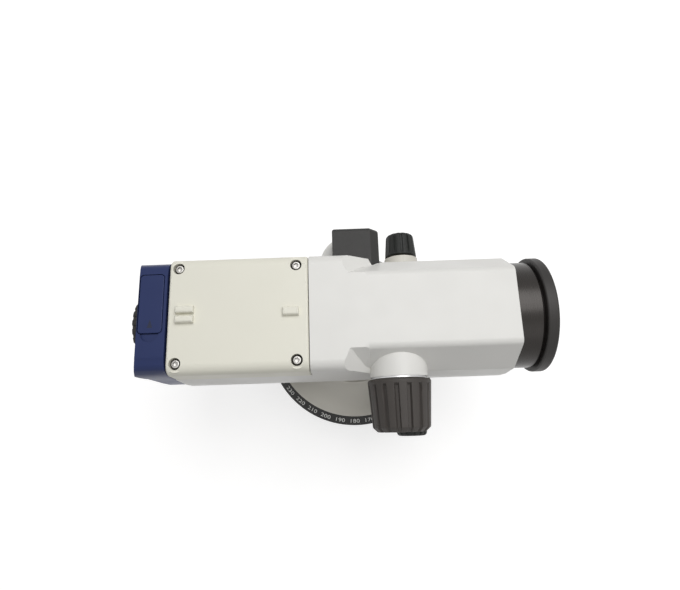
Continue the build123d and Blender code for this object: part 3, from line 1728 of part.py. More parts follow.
holder_radius = vial_radius + vial_holder_wall
holder_z = shelf_top - vial_pocket_depth + body_gap
vial_z = holder_z + vial_holder_floor

with BuildPart() as vial_holder:
    turn_about_z(
        [
            (0, holder_z),
            (holder_radius, holder_z),
            (holder_radius, vial_z + vial_height - 1.0),
            (vial_radius, vial_z + vial_height - 1.0),
            (vial_radius, vial_z),
            (0, vial_z),
        ],
        vial_centre,
    )

vial_holder.part.label = "vial_holder"
export_step(vial_holder.part, "parts/vial_holder.step")

with BuildPart() as bubble_vial:
    with BuildSketch(Plane.XY.offset(vial_z)):
        with Locations(vial_centre):
            Circle(vial_radius)
    extrude(amount=vial_height)

bubble_vial.part.label = "bubble_vial"
export_step(bubble_vial.part, "parts/bubble_vial.step")

with BuildPart() as vial_screws:
    with BuildSketch(Plane.XY.offset(shelf_bottom)):
        with Locations(vial_centre):
            with PolarLocations(vial_screw_circle_radius, 3):
                Circle(vial_screw_radius)
    extrude(amount=holder_z - shelf_bottom)
    with BuildSketch(Plane.XY.offset(shelf_bottom)):
        with Locations(vial_centre):
            with PolarLocations(vial_screw_circle_radius, 3):
                Circle(vial_screw_head_radius)
    extrude(amount=-vial_screw_head_height)

vial_screws.part.label = "vial_screws"
export_step(vial_screws.part, "parts/vial_screws.step")

viewer_top = axis_z + viewer_rise
viewer_inner_y = front_half_top + 6.0
window_centre_y = vial_centre[1]
window_low_z = viewer_bottom + viewer_wall

with BuildPart() as viewer_housing:
    with BuildSketch(Plane.XZ.offset(-viewer_outer)):
        with BuildLine():
            Polyline(
                (viewer_rear, viewer_bottom),
                (viewer_rear, viewer_top),
                (viewer_crease, viewer_top),
                (viewer_front, viewer_top - viewer_slope_drop),
                (viewer_front, viewer_bottom),
                close=True,
            )
        make_face()
    extrude(amount=viewer_outer - viewer_inner_y)
    outer_edges = viewer_housing.edges().filter_by(
        lambda e: e.center().Y > viewer_outer - 0.01 and e.center().Z > viewer_bottom + 1
    )
    fillet(outer_edges, viewer_corner_radius)
    add(body_envelope.part, mode=Mode.SUBTRACT)
    # Room for the mirror over the vial
    with BuildSketch(Plane.XY.offset(viewer_bottom)):
        with Locations(((viewer_rear + viewer_front) / 2, window_centre_y)):
            Rectangle(
                viewer_front - viewer_rear - 2 * viewer_wall, 2 * (window_half_width + 0.6)
            )
    extrude(amount=viewer_top - viewer_wall - viewer_slope_drop - viewer_bottom, mode=Mode.SUBTRACT)
    with BuildSketch(Plane.YZ.offset(viewer_rear)):
        with Locations((window_centre_y, window_low_z + window_height / 2)):
            RectangleRounded(2 * window_half_width, window_height, 1.0)
    extrude(amount=viewer_wall, mode=Mode.SUBTRACT)

viewer_housing.part.label = "viewer_housing"
export_step(viewer_housing.part, "parts/viewer_housing.step")

with BuildPart() as viewer_window:
    with BuildSketch(Plane.YZ.offset(viewer_rear + 0.5)):
        with Locations((window_centre_y, window_low_z + window_height / 2)):
            RectangleRounded(2 * window_half_width, window_height, 1.0)
    extrude(amount=window_thickness)

viewer_window.part.label = "viewer_window"
export_step(viewer_window.part, "parts/viewer_window.step")

mirror_low = (viewer_front - viewer_wall - 1.4, viewer_bottom + 0.6)
mirror_run = viewer_rise - viewer_wall - viewer_slope_drop + shelf_top_drop - 2.2

with BuildPart() as viewer_mirror:
    with BuildSketch(Plane.XZ.offset(-(window_centre_y + window_half_width + 0.6))):
        with BuildLine():
            Polyline(
                mirror_low,
                (mirror_low[0] - mirror_run, mirror_low[1] + mirror_run),
                (mirror_low[0] - mirror_run + mirror_thickness, mirror_low[1] + mirror_run),
                (mirror_low[0] + mirror_thickness, mirror_low[1]),
                close=True,
            )
        make_face()
    extrude(amount=2 * (window_half_width + 0.6))

viewer_mirror.part.label = "viewer_mirror"
export_step(viewer_mirror.part, "parts/viewer_mirror.step")
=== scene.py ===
"""Automatic level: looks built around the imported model, in metres, laid out as a Blender add-on.

+X points out of the objective, +Y to the bubble side, +Z up, and the base plate stands on z = 0.
"""

import json
import math

import bmesh
import bpy
from bpy.props import BoolProperty, FloatProperty, FloatVectorProperty, IntProperty, PointerProperty
from mathutils import Matrix, Vector


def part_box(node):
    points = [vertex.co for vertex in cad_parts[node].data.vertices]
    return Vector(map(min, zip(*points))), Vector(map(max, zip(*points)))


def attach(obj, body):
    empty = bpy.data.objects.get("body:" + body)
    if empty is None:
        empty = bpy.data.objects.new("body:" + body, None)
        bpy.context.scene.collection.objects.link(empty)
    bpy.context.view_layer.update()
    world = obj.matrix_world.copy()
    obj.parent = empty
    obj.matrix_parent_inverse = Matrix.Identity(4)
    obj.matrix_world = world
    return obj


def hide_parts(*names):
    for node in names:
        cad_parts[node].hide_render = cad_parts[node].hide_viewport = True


bl_info = {
    "name": "Automatic level",
    "version": (1, 0, 0),
    "blender": (4, 5, 0),
    "location": "3D View > Sidebar > Level",
    "description": "Builds the finishes and fine pieces of a surveying level around its packed model",
    "category": "Add Mesh",
}

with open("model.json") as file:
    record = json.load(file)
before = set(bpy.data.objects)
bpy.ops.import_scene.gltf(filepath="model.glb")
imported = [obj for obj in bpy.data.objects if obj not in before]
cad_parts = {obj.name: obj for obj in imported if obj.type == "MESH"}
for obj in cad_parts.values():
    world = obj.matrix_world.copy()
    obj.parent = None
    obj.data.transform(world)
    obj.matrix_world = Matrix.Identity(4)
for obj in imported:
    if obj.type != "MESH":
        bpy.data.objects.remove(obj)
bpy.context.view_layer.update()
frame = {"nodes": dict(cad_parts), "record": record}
cad_nodes = frame["nodes"]
cad_slots = {row["node"]: row["material_slot"] for row in frame["record"]["subparts"]}

MM = 0.001

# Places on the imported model, in millimetres
SIGHT_Z = 104.0
SHOULDER_TOP = 133.7
SHOULDER_PARTING = 117.0
FOOT_SCREWS = {1: (-20.5, 35.507), 2: (-20.5, -35.507), 3: (41.0, 0.0)}

# Light: the world's strength on surfaces, and the glow that makes the lit floor white
ROOM_LIGHT = 0.3
FLOOR_WHITE = 0.68

# The photograph's camera, in degrees, millimetres and pixels
CAMERA_AZIMUTH = 1.17
CAMERA_ELEVATION = 75.87
CAMERA_ROLL = -3.11
CAMERA_TARGET = (-7.79, 14.82, 104.0)
CAMERA_DISTANCE = 273.64
FOCAL_PIXELS = 493
PHOTO_WIDTH = 680
SENSOR_WIDTH = 36


def srgb(red, green, blue):
    """Linear colour from the 0 to 255 values seen on a screen."""
    linear = []
    for value in (red, green, blue):
        value /= 255
        linear.append(value / 12.92 if value <= 0.04045 else ((value + 0.055) / 1.055) ** 2.4)
    return tuple(linear)


def colour_property(name, description, colour):
    return FloatVectorProperty(
        name=name, description=description, default=colour, subtype="COLOR", size=3, min=0, max=1
    )


def length_property(name, description, millimetres):
    return FloatProperty(
        name=name,
        description=description,
        default=millimetres * MM,
        subtype="DISTANCE",
        unit="LENGTH",
        min=0,
    )


def flutes_property(name, description, count):
    return IntProperty(name=name, description=description, default=count, min=3)


class LevelColours(bpy.types.PropertyGroup):
    cover: colour_property("Cover", "Enamel of the compensator cover", srgb(229, 227, 214))
    body: colour_property("Body", "Enamel of the telescope body", srgb(226, 225, 221))
    cap: colour_property("Rear cap", "Enamel of the rear cap and its door", srgb(40, 51, 92))
    # The lower housing is the body's white casting; this darker, warmer enamel paints in the shade under
    # the body
    skirt: colour_property("Skirt", "Enamel of the lower housing", srgb(216, 213, 204))
    base: colour_property("Base", "Enamel of the tribrach and base plate", srgb(205, 204, 198))
    knob: colour_property("Focus knob", "Moulded grip of the focusing knob", srgb(66, 62, 59))
    grip: colour_property("Small knobs", "Moulded grip of the small knobs", srgb(24, 26, 24))
    viewer: colour_property("Bubble viewer", "Moulded viewer over the bubble", srgb(40, 39, 38))
    barrel: colour_property("Barrel", "Anodised objective barrel", srgb(40, 36, 33))
    circle: colour_property("Circle", "Satin black of the horizontal circle", srgb(20, 19, 18))
    figures: colour_property("Figures", "Figures and marks of the circle", srgb(238, 238, 234))


class LevelSizes(bpy.types.PropertyGroup):
    figure_height: length_property("Figure height", "Height of the figures on the circle", 3.3)
    figure_turn: FloatProperty(
        name="Circle setting",
        description="Bearing at which the figure 180 stands, from +X",
        default=math.radians(-91.6),
        subtype="ANGLE",
        unit="ROTATION",
    )
    focus_flutes: flutes_property("Focus knob flutes", "Grooves round the knob", 16)
    fine_flutes: flutes_property("Fine knob flutes", "Grooves round each knob", 14)
    foot_flutes: flutes_property("Foot knob flutes", "Grooves round each knob", 18)
    ring_flutes: flutes_property("Ring flutes", "Grooves round the dioptre ring", 20)


# Node helpers


def put(tree, kind, inputs=None, **settings):
    """Adds a node, sets its settings, and fills its inputs with values or links."""
    node = tree.nodes.new(kind)
    for name, value in settings.items():
        setattr(node, name, value)
    for name, value in (inputs or {}).items():
        socket = node.inputs[name]
        if isinstance(value, bpy.types.NodeSocket):
            tree.links.new(value, socket)
        else:
            socket.default_value = value
    return node


def calc(tree, operation, *values):
    """One Math node; each value is a number or a socket."""
    node = tree.nodes.new("ShaderNodeMath")
    node.operation = operation
    for socket, value in zip(node.inputs, values):
        if isinstance(value, bpy.types.NodeSocket):
            tree.links.new(value, socket)
        else:
            socket.default_value = value
    return node.outputs[0]


def ramp(tree, value, low, high, start=0.0, end=1.0):
    """Smooth rise from start to end while value goes from low to high."""
    node = put(
        tree,
        "ShaderNodeMapRange",
        {"Value": value, "From Min": low, "From Max": high, "To Min": start, "To Max": end},
        interpolation_type="SMOOTHSTEP",
    )
    return node.outputs["Result"]


def vector(tree, x=0.0, y=0.0, z=0.0):
    """A vector made of three numbers or sockets."""
    return put(tree, "ShaderNodeCombineXYZ", {"X": x, "Y": y, "Z": z}).outputs[0]


def position(tree):
    return tree.nodes.new("GeometryNodeInputPosition").outputs[0]


def split(tree, value):
    """The X, Y and Z sockets of a vector."""
    return put(tree, "ShaderNodeSeparateXYZ", {"Vector": value}).outputs


def seen_directly(tree):
    """1 for what the camera sees, directly, in a gloss or through glass, and 0 for light on a surface."""
    path = tree.nodes.new("ShaderNodeLightPath")
    gloss = calc(tree, "MAXIMUM", path.outputs["Is Glossy Ray"], path.outputs["Is Transmission Ray"])
    return calc(tree, "MAXIMUM", path.outputs["Is Camera Ray"], gloss)


# Materials


def new_material(name):
    material = bpy.data.materials.new(name)
    material.use_nodes = True
    tree = material.node_tree
    shader = tree.nodes["Principled BSDF"]
    coordinates = tree.nodes.new("ShaderNodeTexCoord").outputs["Object"]
    return material, tree, shader, coordinates


def stretched(tree, coordinates, scale):
    return put(tree, "ShaderNodeMapping", {"Vector": coordinates, "Scale": scale}).outputs["Vector"]


def noise(tree, where, scale, detail=2.0, roughness=0.5):
    settings = {"Vector": where, "Scale": scale, "Detail": detail, "Roughness": roughness}
    return put(tree, "ShaderNodeTexNoise", settings).outputs["Fac"]


def shade(tree, shader, colour, roughness):
    """Links the base colour and the roughness to the shader."""
    tree.links.new(colour, shader.inputs["Base Color"])
    tree.links.new(roughness, shader.inputs["Roughness"])


def tinted(tree, colour, factor, spread):
    """The colour, a little darker and lighter where factor is low and high."""
    dark = tuple(c * (1 - spread) for c in colour)
    light = tuple(min(1, c * (1 + spread)) for c in colour)
    node = put(
        tree, "ShaderNodeMix", {"Factor": factor, "A": (*dark, 1), "B": (*light, 1)}, data_type="RGBA"
    )
    return node.outputs["Result"]


def bumped(tree, shader, height, depth, strength=1.0):
    bump = put(tree, "ShaderNodeBump", {"Height": height, "Distance": depth, "Strength": strength})
    tree.links.new(bump.outputs["Normal"], shader.inputs["Normal"])


def enamel(name, colour, roughness=0.42, gloss=0.35, coat=0.05):
    """Baked enamel with fine orange peel, faint clouding and a thin gloss."""
    material, tree, shader, where = new_material(name)
    clouds = noise(tree, where, 22, 3)
    wear = ramp(tree, noise(tree, where, 60, 4), 0.3, 0.7, roughness - 0.05, roughness + 0.06)
    shade(tree, shader, tinted(tree, colour, clouds, 0.025), wear)
    peel = noise(tree, where, 900, 2, 0.4)
    bumped(tree, shader, peel, 0.02 * MM, 0.35)
    shader.inputs["Specular IOR Level"].default_value = gloss
    shader.inputs["Coat Weight"].default_value = coat
    shader.inputs["Coat Roughness"].default_value = 0.3
    return material


def moulded(name, colour, roughness=0.55, grain=0.05):
    """Moulded plastic with a fine spark-eroded grain."""
    material, tree, shader, where = new_material(name)
    speckle = noise(tree, where, 2600, 3, 0.6)
    wear = ramp(tree, speckle, 0.3, 0.7, roughness - 0.08, roughness + 0.1)
    shade(tree, shader, tinted(tree, colour, noise(tree, where, 120, 3), 0.10), wear)
    bumped(tree, shader, speckle, grain * MM, 0.6)
    shader.inputs["Specular IOR Level"].default_value = 0.3
    return material


def turned(name, colour, axis, roughness=0.32, metallic=1.0, grooves=0.012):
    """Turned metal: fine tool rings along the axis of turning, with a faint stain."""
    material, tree, shader, where = new_material(name)
    rings = noise(tree, stretched(tree, where, axis), 1.0, 4, 0.7)
    wear = ramp(tree, rings, 0.25, 0.75, roughness - 0.07, roughness + 0.1)
    shade(tree, shader, tinted(tree, colour, noise(tree, where, 90, 3), 0.08), wear)
    bumped(tree, shader, rings, grooves * MM, 0.7)
    shader.inputs["Metallic"].default_value = metallic
    return material


def rubber(name, colour):
    material, tree, shader, where = new_material(name)
    dust = noise(tree, where, 700, 5, 0.7)
    shade(tree, shader, tinted(tree, colour, dust, 0.25), ramp(tree, dust, 0.3, 0.7, 0.6, 0.8))
    bumped(tree, shader, dust, 0.03 * MM, 0.6)
    return material


def coated_glass(name, colour, film):
    """Optical glass with a thin antireflection film and faint cleaning marks."""
    material, tree, shader, where = new_material(name)
    marks = noise(tree, stretched(tree, where, (40, 400, 400)), 1.0, 3, 0.6)
    shade(tree, shader, tinted(tree, colour, marks, 0.05), ramp(tree, marks, 0.5, 0.8, 0.015, 0.06))
    shader.inputs["Transmission Weight"].default_value = 1.0
    shader.inputs["IOR"].default_value = 1.52
    shader.inputs["Thin Film Thickness"].default_value = film
    shader.inputs["Thin Film IOR"].default_value = 1.38
    return material


def polished_mirror(name):
    material, tree, shader, where = new_material(name)
    marks = noise(tree, where, 300, 2)
    silver = tinted(tree, (0.86, 0.87, 0.88), marks, 0.02)
    shade(tree, shader, silver, ramp(tree, marks, 0.4, 0.8, 0.01, 0.05))
    shader.inputs["Metallic"].default_value = 1.0
    return material


# Scales of the tool marks of a turned piece, fine along its axis
ALONG_X = (5200, 14, 14)
ALONG_Y = (14, 5200, 14)
ALONG_Z = (14, 14, 5200)
EVERY_WAY = (1800, 1800, 1800)


def make_finishes(colours):
    """One finish for each material slot of the record, and those of the pieces made here."""
    return {
        "cream_paint": enamel("cream_enamel", colours.cover, 0.45),
        "white_paint": enamel("white_enamel", colours.body, 0.40),
        "blue_paint": enamel("blue_enamel", colours.cap, 0.34, 0.2, 0.0),
        # Body white made darker for the lower housing: painted shade from the body above
        "skirt_paint": enamel("skirt_shaded_white_enamel", colours.skirt, 0.45),
        "tribrach_paint": enamel("base_enamel", colours.base, 0.45),
        "dark_plastic": moulded("viewer_plastic", colours.viewer, 0.5),
        "black_plastic": moulded("black_plastic", colours.grip, 0.5),
        "circle_black": enamel("circle_black", colours.circle, 0.5),
        "black_anodised": turned("black_anodised", colours.barrel, ALONG_X, 0.27, 0.45, 0.004),
        "rim_black": turned("rim_anodised", srgb(30, 27, 25), ALONG_X, 0.5, 0.2),
        "steel": turned("turned_steel", (0.56, 0.56, 0.55), ALONG_Z, 0.3),
        "spring_steel": turned("spring_steel", (0.42, 0.42, 0.43), EVERY_WAY, 0.36),
        "brass": turned("turned_brass", (0.70, 0.50, 0.22), ALONG_Z, 0.33),
        "aluminium": turned("turned_aluminium", (0.72, 0.72, 0.72), ALONG_Y, 0.36),
        "rubber": rubber("eyepiece_rubber", srgb(26, 24, 22)),
        "optical_glass": coated_glass("optical_glass", (0.86, 0.93, 0.90), 380),
        "mirror": polished_mirror("viewer_mirror_silver"),
        "focus_grip": moulded("focus_grip", colours.knob, 0.52, 0.06),
        "screw_steel": turned("screw_steel", (0.42, 0.41, 0.39), EVERY_WAY, 0.42),
        "arrow_shade": enamel("arrow_shade", tuple(c * 0.3 for c in colours.cap), 0.6),
        # Dark rings for the counterbores: painted shadow round each screw head
        "bore_painted_shadow": moulded("bore_painted_shadow", srgb(58, 55, 50), 0.8),
        "figures": enamel("figure_paint", colours.figures, 0.5),
    }


finishes = {}


def finish_with(piece, finish):
    piece.data.materials.clear()
    piece.data.materials.append(finishes[finish])


# Mesh helpers


def new_piece(name, mesh, body):
    """Puts a finished mesh, already in its place, into the scene and onto its body."""
    piece = bpy.data.objects.new(name, mesh)
    bpy.context.scene.collection.objects.link(piece)
    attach(piece, body)
    return piece


def smooth_mesh(mesh, angle=30):
    mesh.shade_smooth()
    mesh.set_sharp_from_angle(angle=math.radians(angle))


def mesh_from(work, name):
    """Ends a bmesh and returns what it holds as a mesh."""
    mesh = bpy.data.meshes.new(name)
    work.to_mesh(mesh)
    work.free()
    return mesh


def outward(mesh):
    """Turns the faces of a closed mesh outwards."""
    work = bmesh.new()
    work.from_mesh(mesh)
    bmesh.ops.remove_doubles(work, verts=work.verts, dist=0.2e-6)
    bmesh.ops.recalc_face_normals(work, faces=work.faces)
    work.to_mesh(mesh)
    work.free()
    return mesh


def evaluated_mesh(holder, name):
    """The mesh that the holder's modifiers make; the holder itself is removed."""
    graph = bpy.context.evaluated_depsgraph_get()
    mesh = bpy.data.meshes.new_from_object(holder.evaluated_get(graph), depsgraph=graph)
    mesh.name = name
    holder.modifiers.clear()
    bpy.data.objects.remove(holder)
    return mesh


def run_tree(tree, name, mesh=None, **inputs):
    """Runs a Geometry Nodes tree on a mesh with the named inputs and returns a plain mesh."""
    holder = bpy.data.objects.new(name, mesh or bpy.data.meshes.new(name))
    bpy.context.scene.collection.objects.link(holder)
    modifier = holder.modifiers.new(name, "NODES")
    modifier.node_group = tree
    items = tree.interface.items_tree
    sockets = {item.name: item.identifier for item in items if item.in_out == "INPUT"}
    for key, value in inputs.items():
        modifier[sockets[key.replace("_", " ")]] = value
    return evaluated_mesh(holder, name)


def new_tree(name, **sockets):
    """A Geometry Nodes tree with the named inputs, given as (socket type, default)."""
    tree = bpy.data.node_groups.new(name, "GeometryNodeTree")
    tree.is_modifier = True
    tree.interface.new_socket("Geometry", in_out="INPUT", socket_type="NodeSocketGeometry")
    tree.interface.new_socket("Geometry", in_out="OUTPUT", socket_type="NodeSocketGeometry")
    for key, (kind, default) in sockets.items():
        socket = tree.interface.new_socket(
            key.replace("_", " "), in_out="INPUT", socket_type="NodeSocket" + kind
        )
        if default is not None:
            socket.default_value = default
    return tree, tree.nodes.new("NodeGroupInput").outputs


def end_tree(tree, geometry, material):
    """Every tree ends in Realize Instances and Set Material."""
    real = put(tree, "GeometryNodeRealizeInstances", {"Geometry": geometry}).outputs["Geometry"]
    painted = put(tree, "GeometryNodeSetMaterial", {"Geometry": real, "Material": material})
    result = tree.nodes.new("NodeGroupOutput")
    tree.links.new(painted.outputs["Geometry"], result.inputs[0])


def rounded(corners, steps=5):
    """Polyline through (radius, height, corner radius) corners with each corner rounded."""
    points = []
    for index, (x, y, size) in enumerate(corners):
        here = Vector((x, y))
        if size == 0 or index in (0, len(corners) - 1):
            points.append(here)
            continue
        before = Vector(corners[index - 1][:2]) - here
        after = Vector(corners[index + 1][:2]) - here
        half = before.angle(after) / 2
        reach = min(size / math.tan(half), before.length * 0.49, after.length * 0.49)
        start = here + before.normalized() * reach
        end = here + after.normalized() * reach
        for step in range(steps + 1):
            t = step / steps
            points.append(start * (1 - t) ** 2 + here * 2 * t * (1 - t) + end * t**2)
    return points


def divided(points, longest):
    """The polyline with no run longer than this."""
    result = [points[0]]
    for point in points[1:]:
        run = point - result[-1]
        count = max(1, math.ceil(run.length / longest))
        start = result[-1]
        result += [start + run * (step / count) for step in range(1, count + 1)]
    return result


def profile_mesh(points, name):
    """Vertices of a (radius, height) profile, for the turning tree to read."""
    mesh = bpy.data.meshes.new(name)
    mesh.from_pydata([(p.x, 0, p.y) for p in points], [(i, i + 1) for i in range(len(points) - 1)], [])
    return mesh


def round_the_axis(tree, radius, angle, height):
    """The point at a radius, an angle about Z and a height."""
    x = calc(tree, "MULTIPLY", radius, calc(tree, "COSINE", angle))
    y = calc(tree, "MULTIPLY", radius, calc(tree, "SINE", angle))
    return vector(tree, x, y, height)


def turning_tree():
    """Turns a profile about Z and presses straight grooves into it."""
    tree, given = new_tree(
        "Turned grip",
        Points=("Int", 10),
        Around=("Int", 96),
        Grooves=("Int", 0),
        Depth=("Float", 0.0),
        Half_width=("Float", 0.001),
        Start=("Float", 0.0),
        Run_in=("Float", 0.001),
        Inner_radius=("Float", 0.0),
        Material=("Material", None),
    )
    columns = calc(tree, "ADD", given["Around"], 1)
    size = {"Size X": 1.0, "Size Y": 1.0, "Vertices X": columns, "Vertices Y": given["Points"]}
    grid = put(tree, "GeometryNodeMeshGrid", size)
    place = split(tree, position(tree))
    turn = calc(tree, "MULTIPLY", calc(tree, "ADD", place["X"], 0.5), 2 * math.pi)
    last = calc(tree, "SUBTRACT", given["Points"], 1)
    step = calc(tree, "MULTIPLY", calc(tree, "ADD", place["Y"], 0.5), last)
    point = put(
        tree,
        "GeometryNodeSampleIndex",
        {
            "Geometry": given["Geometry"],
            "Value": position(tree),
            "Index": calc(tree, "ROUND", step),
        },
        data_type="FLOAT_VECTOR",
        domain="POINT",
    )
    profile = split(tree, point.outputs[0])
    radius, height = profile["X"], profile["Z"]
    share = calc(tree, "MULTIPLY", turn, calc(tree, "DIVIDE", given["Grooves"], 2 * math.pi))
    off_centre = calc(tree, "ABSOLUTE", calc(tree, "SUBTRACT", calc(tree, "FRACT", share), 0.5))
    pitch = calc(tree, "DIVIDE", calc(tree, "MULTIPLY", radius, 2 * math.pi), given["Grooves"])
    aside = calc(tree, "MULTIPLY", off_centre, pitch)
    flat = calc(tree, "MULTIPLY", given["Half width"], 0.62)
    floor = ramp(tree, aside, flat, given["Half width"], 1.0, 0.0)
    begun = ramp(tree, height, given["Start"], calc(tree, "ADD", given["Start"], given["Run in"]))
    full_depth = calc(tree, "ADD", given["Inner radius"], given["Run in"])
    outside = ramp(tree, radius, given["Inner radius"], full_depth)
    pressed = calc(tree, "MULTIPLY", calc(tree, "MULTIPLY", floor, begun), outside)
    kept = calc(tree, "SUBTRACT", radius, calc(tree, "MULTIPLY", pressed, given["Depth"]))
    moved = round_the_axis(tree, kept, turn, height)
    shaped = put(tree, "GeometryNodeSetPosition", {"Geometry": grid.outputs["Mesh"], "Position": moved})
    seam = {"Geometry": shaped.outputs["Geometry"], "Distance": 0.5e-6}
    closed = put(tree, "GeometryNodeMergeByDistance", seam)
    end_tree(tree, closed.outputs["Geometry"], given["Material"])
    return tree


def turned_grip(
    tree, name, corners, place, finish, *, grooves, depth, half_width, start, run_in, inner, steps
):
    """A fluted knob, in millimetres.

    The corners are (radius, height, roundness) in order along the outside. The grooves begin at the start
    height and outside the inner radius, and each has this many steps round the knob.
    """
    points = divided(rounded([tuple(v * MM for v in corner) for corner in corners]), 1.2 * MM)
    mesh = run_tree(
        tree,
        name,
        profile_mesh(points, name + "_profile"),
        Points=len(points),
        Around=grooves * steps,
        Grooves=grooves,
        Depth=depth * MM,
        Half_width=half_width * MM,
        Start=start * MM,
        Run_in=run_in * MM,
        Inner_radius=inner * MM,
        Material=finishes[finish],
    )
    mesh.transform(place)
    outward(mesh)
    smooth_mesh(mesh, 40)
    return mesh


def axis_place(x, y, z, direction):
    """Matrix that stands local +Z along a row axis at a point given in millimetres."""
    turn = Vector((0, 0, 1)).rotation_difference(Vector(direction)).to_matrix().to_4x4()
    return Matrix.Translation(Vector((x, y, z)) * MM) @ turn


def merged_copy(node, reshape=None):
    """A copy of a CAD node's mesh with its triangles joined, and reshaped where asked."""
    mesh = cad_nodes[node].data.copy()
    work = bmesh.new()
    work.from_mesh(mesh)
    bmesh.ops.remove_doubles(work, verts=work.verts, dist=1e-6)
    if reshape:
        reshape(work)
    bmesh.ops.dissolve_limit(
        work,
        angle_limit=math.radians(0.4),
        verts=work.verts,
        edges=work.edges,
        use_dissolve_boundaries=False,
    )
    work.to_mesh(mesh)
    work.free()
    return mesh


def softened(node, width, angle=32, segments=3, reshape=None, changes=()):
    """The node's shape with its sharp edges rounded, after the (operation, solid) changes."""
    holder = bpy.data.objects.new(node + "_holder", merged_copy(node, reshape))
    bpy.context.scene.collection.objects.link(holder)
    solids = []
    for operation, solid in changes:
        other = bpy.data.objects.new(solid.name, solid)
        bpy.context.scene.collection.objects.link(other)
        solids.append(other)
        change = holder.modifiers.new(solid.name, "BOOLEAN")
        change.operation = operation
        change.solver = "EXACT"
        change.object = other
    bevel = holder.modifiers.new("Rounded edges", "BEVEL")
    bevel.width = width
    bevel.segments = segments
    bevel.limit_method = "ANGLE"
    bevel.angle_limit = math.radians(angle)
    bevel.use_clamp_overlap = True
    result = evaluated_mesh(holder, node + "_finished")
    for other in solids:
        bpy.data.objects.remove(other)
    return even_shading(result, 40)


def even_shading(mesh, angle):
    """Smooth shading in which the large faces stay flat."""
    smooth_mesh(mesh, angle)
    holder = bpy.data.objects.new(mesh.name + "_holder", mesh)
    bpy.context.scene.collection.objects.link(holder)
    weighted = holder.modifiers.new("Flat faces", "WEIGHTED_NORMAL")
    weighted.mode = "FACE_AREA"
    weighted.weight = 90
    weighted.keep_sharp = True
    return evaluated_mesh(holder, mesh.name)


def box_cut_by(name, low, high, planes):
    """A box in millimetres cut down to what lies inside the planes, given as (point, outward normal)."""
    work = bmesh.new()
    bmesh.ops.create_cube(work, size=1.0)
    low, high = Vector(low) * MM, Vector(high) * MM
    for vertex in work.verts:
        vertex.co = (low + high) / 2 + Vector(a * b for a, b in zip(vertex.co, high - low))
    for point, normal in planes:
        cut = bmesh.ops.bisect_plane(
            work,
            geom=[*work.verts, *work.edges, *work.faces],
            plane_co=Vector(point) * MM,
            plane_no=normal,
            clear_outer=True,
        )["geom_cut"]
        edges = [item for item in cut if isinstance(item, bmesh.types.BMEdge)]
        bmesh.ops.contextual_create(work, geom=edges)
    bmesh.ops.recalc_face_normals(work, faces=work.faces)
    return mesh_from(work, name)


def plane_through(first, second, third, side):
    """Point and unit normal of the plane through three points, turned to the given side."""
    first, second, third = Vector(first), Vector(second), Vector(third)
    normal = (second - first).cross(third - first).normalized()
    return first, normal if normal.dot(Vector(side)) > 0 else -normal


def shoulder_changes():
    """Slanted facets, on both sides, that carry the wide rear of the body into its narrow front."""
    changes = []
    top, parting = SHOULDER_TOP, SHOULDER_PARTING
    rear_x, front_x, along = -8.4, -3.4, 40
    rear_half, rear_half_low = 29.1, 30.0
    front_half, front_half_low = 18.8, 29.5
    foot_half = 29.6
    inner_reach, outer_reach = 17.0, 34.0
    facet_start = -2.5
    for side, word, foot in ((1, "far", 13.0), (-1, "near", 6.4)):
        outside = (0, side, 0)
        slant_point, slant = plane_through(
            (rear_x, side * rear_half, top),
            (front_x, side * front_half, top),
            (foot, side * foot_half, parting),
            (0, 0, 1),
        )
        facet_point, facet = plane_through(
            (0, side * front_half, top),
            (along, side * front_half, top),
            (0, side * front_half_low, parting),
            outside,
        )
        flank_point, flank = plane_through(
            (0, side * rear_half, top),
            (along, side * rear_half, top),
            (0, side * rear_half_low, parting),
            outside,
        )
        near, far = sorted((side * inner_reach, side * outer_reach))
        cut = box_cut_by(f"{word}_cut", (-9.0, near, parting), (foot + 0.3, far, top + 1), [
            (slant_point, -slant),
            (facet_point + facet * 0.02, -facet),
        ])
        low, high = (facet_start, near, parting), (foot + 0.2, far, top - 0.05)
        wedge = box_cut_by(f"{word}_facet", low, high, [
            (slant_point - slant * 0.01, slant),
            (facet_point - facet, -facet),
            (flank_point - flank * 0.12, flank),
        ])
        changes += [("DIFFERENCE", cut), ("UNION", wedge)]
    return changes


class FinishOperator:
    bl_options = {"REGISTER", "UNDO"}

    @staticmethod
    def done(pieces):
        """A step that leaves nothing behind is a fault."""
        if not pieces:
            raise RuntimeError("this step made no piece")
        return {"FINISHED"}


class LEVEL_OT_finishes(FinishOperator, bpy.types.Operator):
    """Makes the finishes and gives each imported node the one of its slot"""

    bl_idname = "level.finishes"
    bl_label = "Finishes"

    def execute(self, context):
        finishes.update(make_finishes(context.scene.level_colours))
        for name, node in cad_nodes.items():
            node.data.materials.clear()
            node.data.materials.append(finishes[cad_slots[name]])
        return self.done(cad_nodes)


def fuller_cap(work):
    """Fills out the upper flanks of the rear cap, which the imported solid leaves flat."""
    top, parting = SHOULDER_TOP * MM, SHOULDER_PARTING * MM
    flank = 22.0 * MM
    levels, crowding = 8, 0.7
    fullest, fullness = 3.4 * MM, 0.55
    for step in range(1, levels):
        bmesh.ops.bisect_plane(
            work,
            geom=[*work.verts, *work.edges, *work.faces],
            plane_co=(0, 0, parting + (top - parting) * (step / levels) ** crowding),
            plane_no=(0, 0, 1),
        )
    for vertex in work.verts:
        place = vertex.co
        share = (top - place.z) / (top - parting)
        if abs(place.y) < flank or not 0 < share < 1:
            continue
        swell = fullest * math.sin(math.pi * share**fullness)
        place.y += math.copysign(swell, place.y)


SHELLS = {
    "compensator_cover": (0.25, "housing"),
    "main_housing": (0.35, "housing"),
    "rear_cap": (0.25, "housing"),
    "viewer_housing": (0.4, "housing"),
    "lower_housing": (0.3, "housing"),
    "tribrach": (0.3, "tribrach"),
    "base_plate": (0.3, "base"),
}


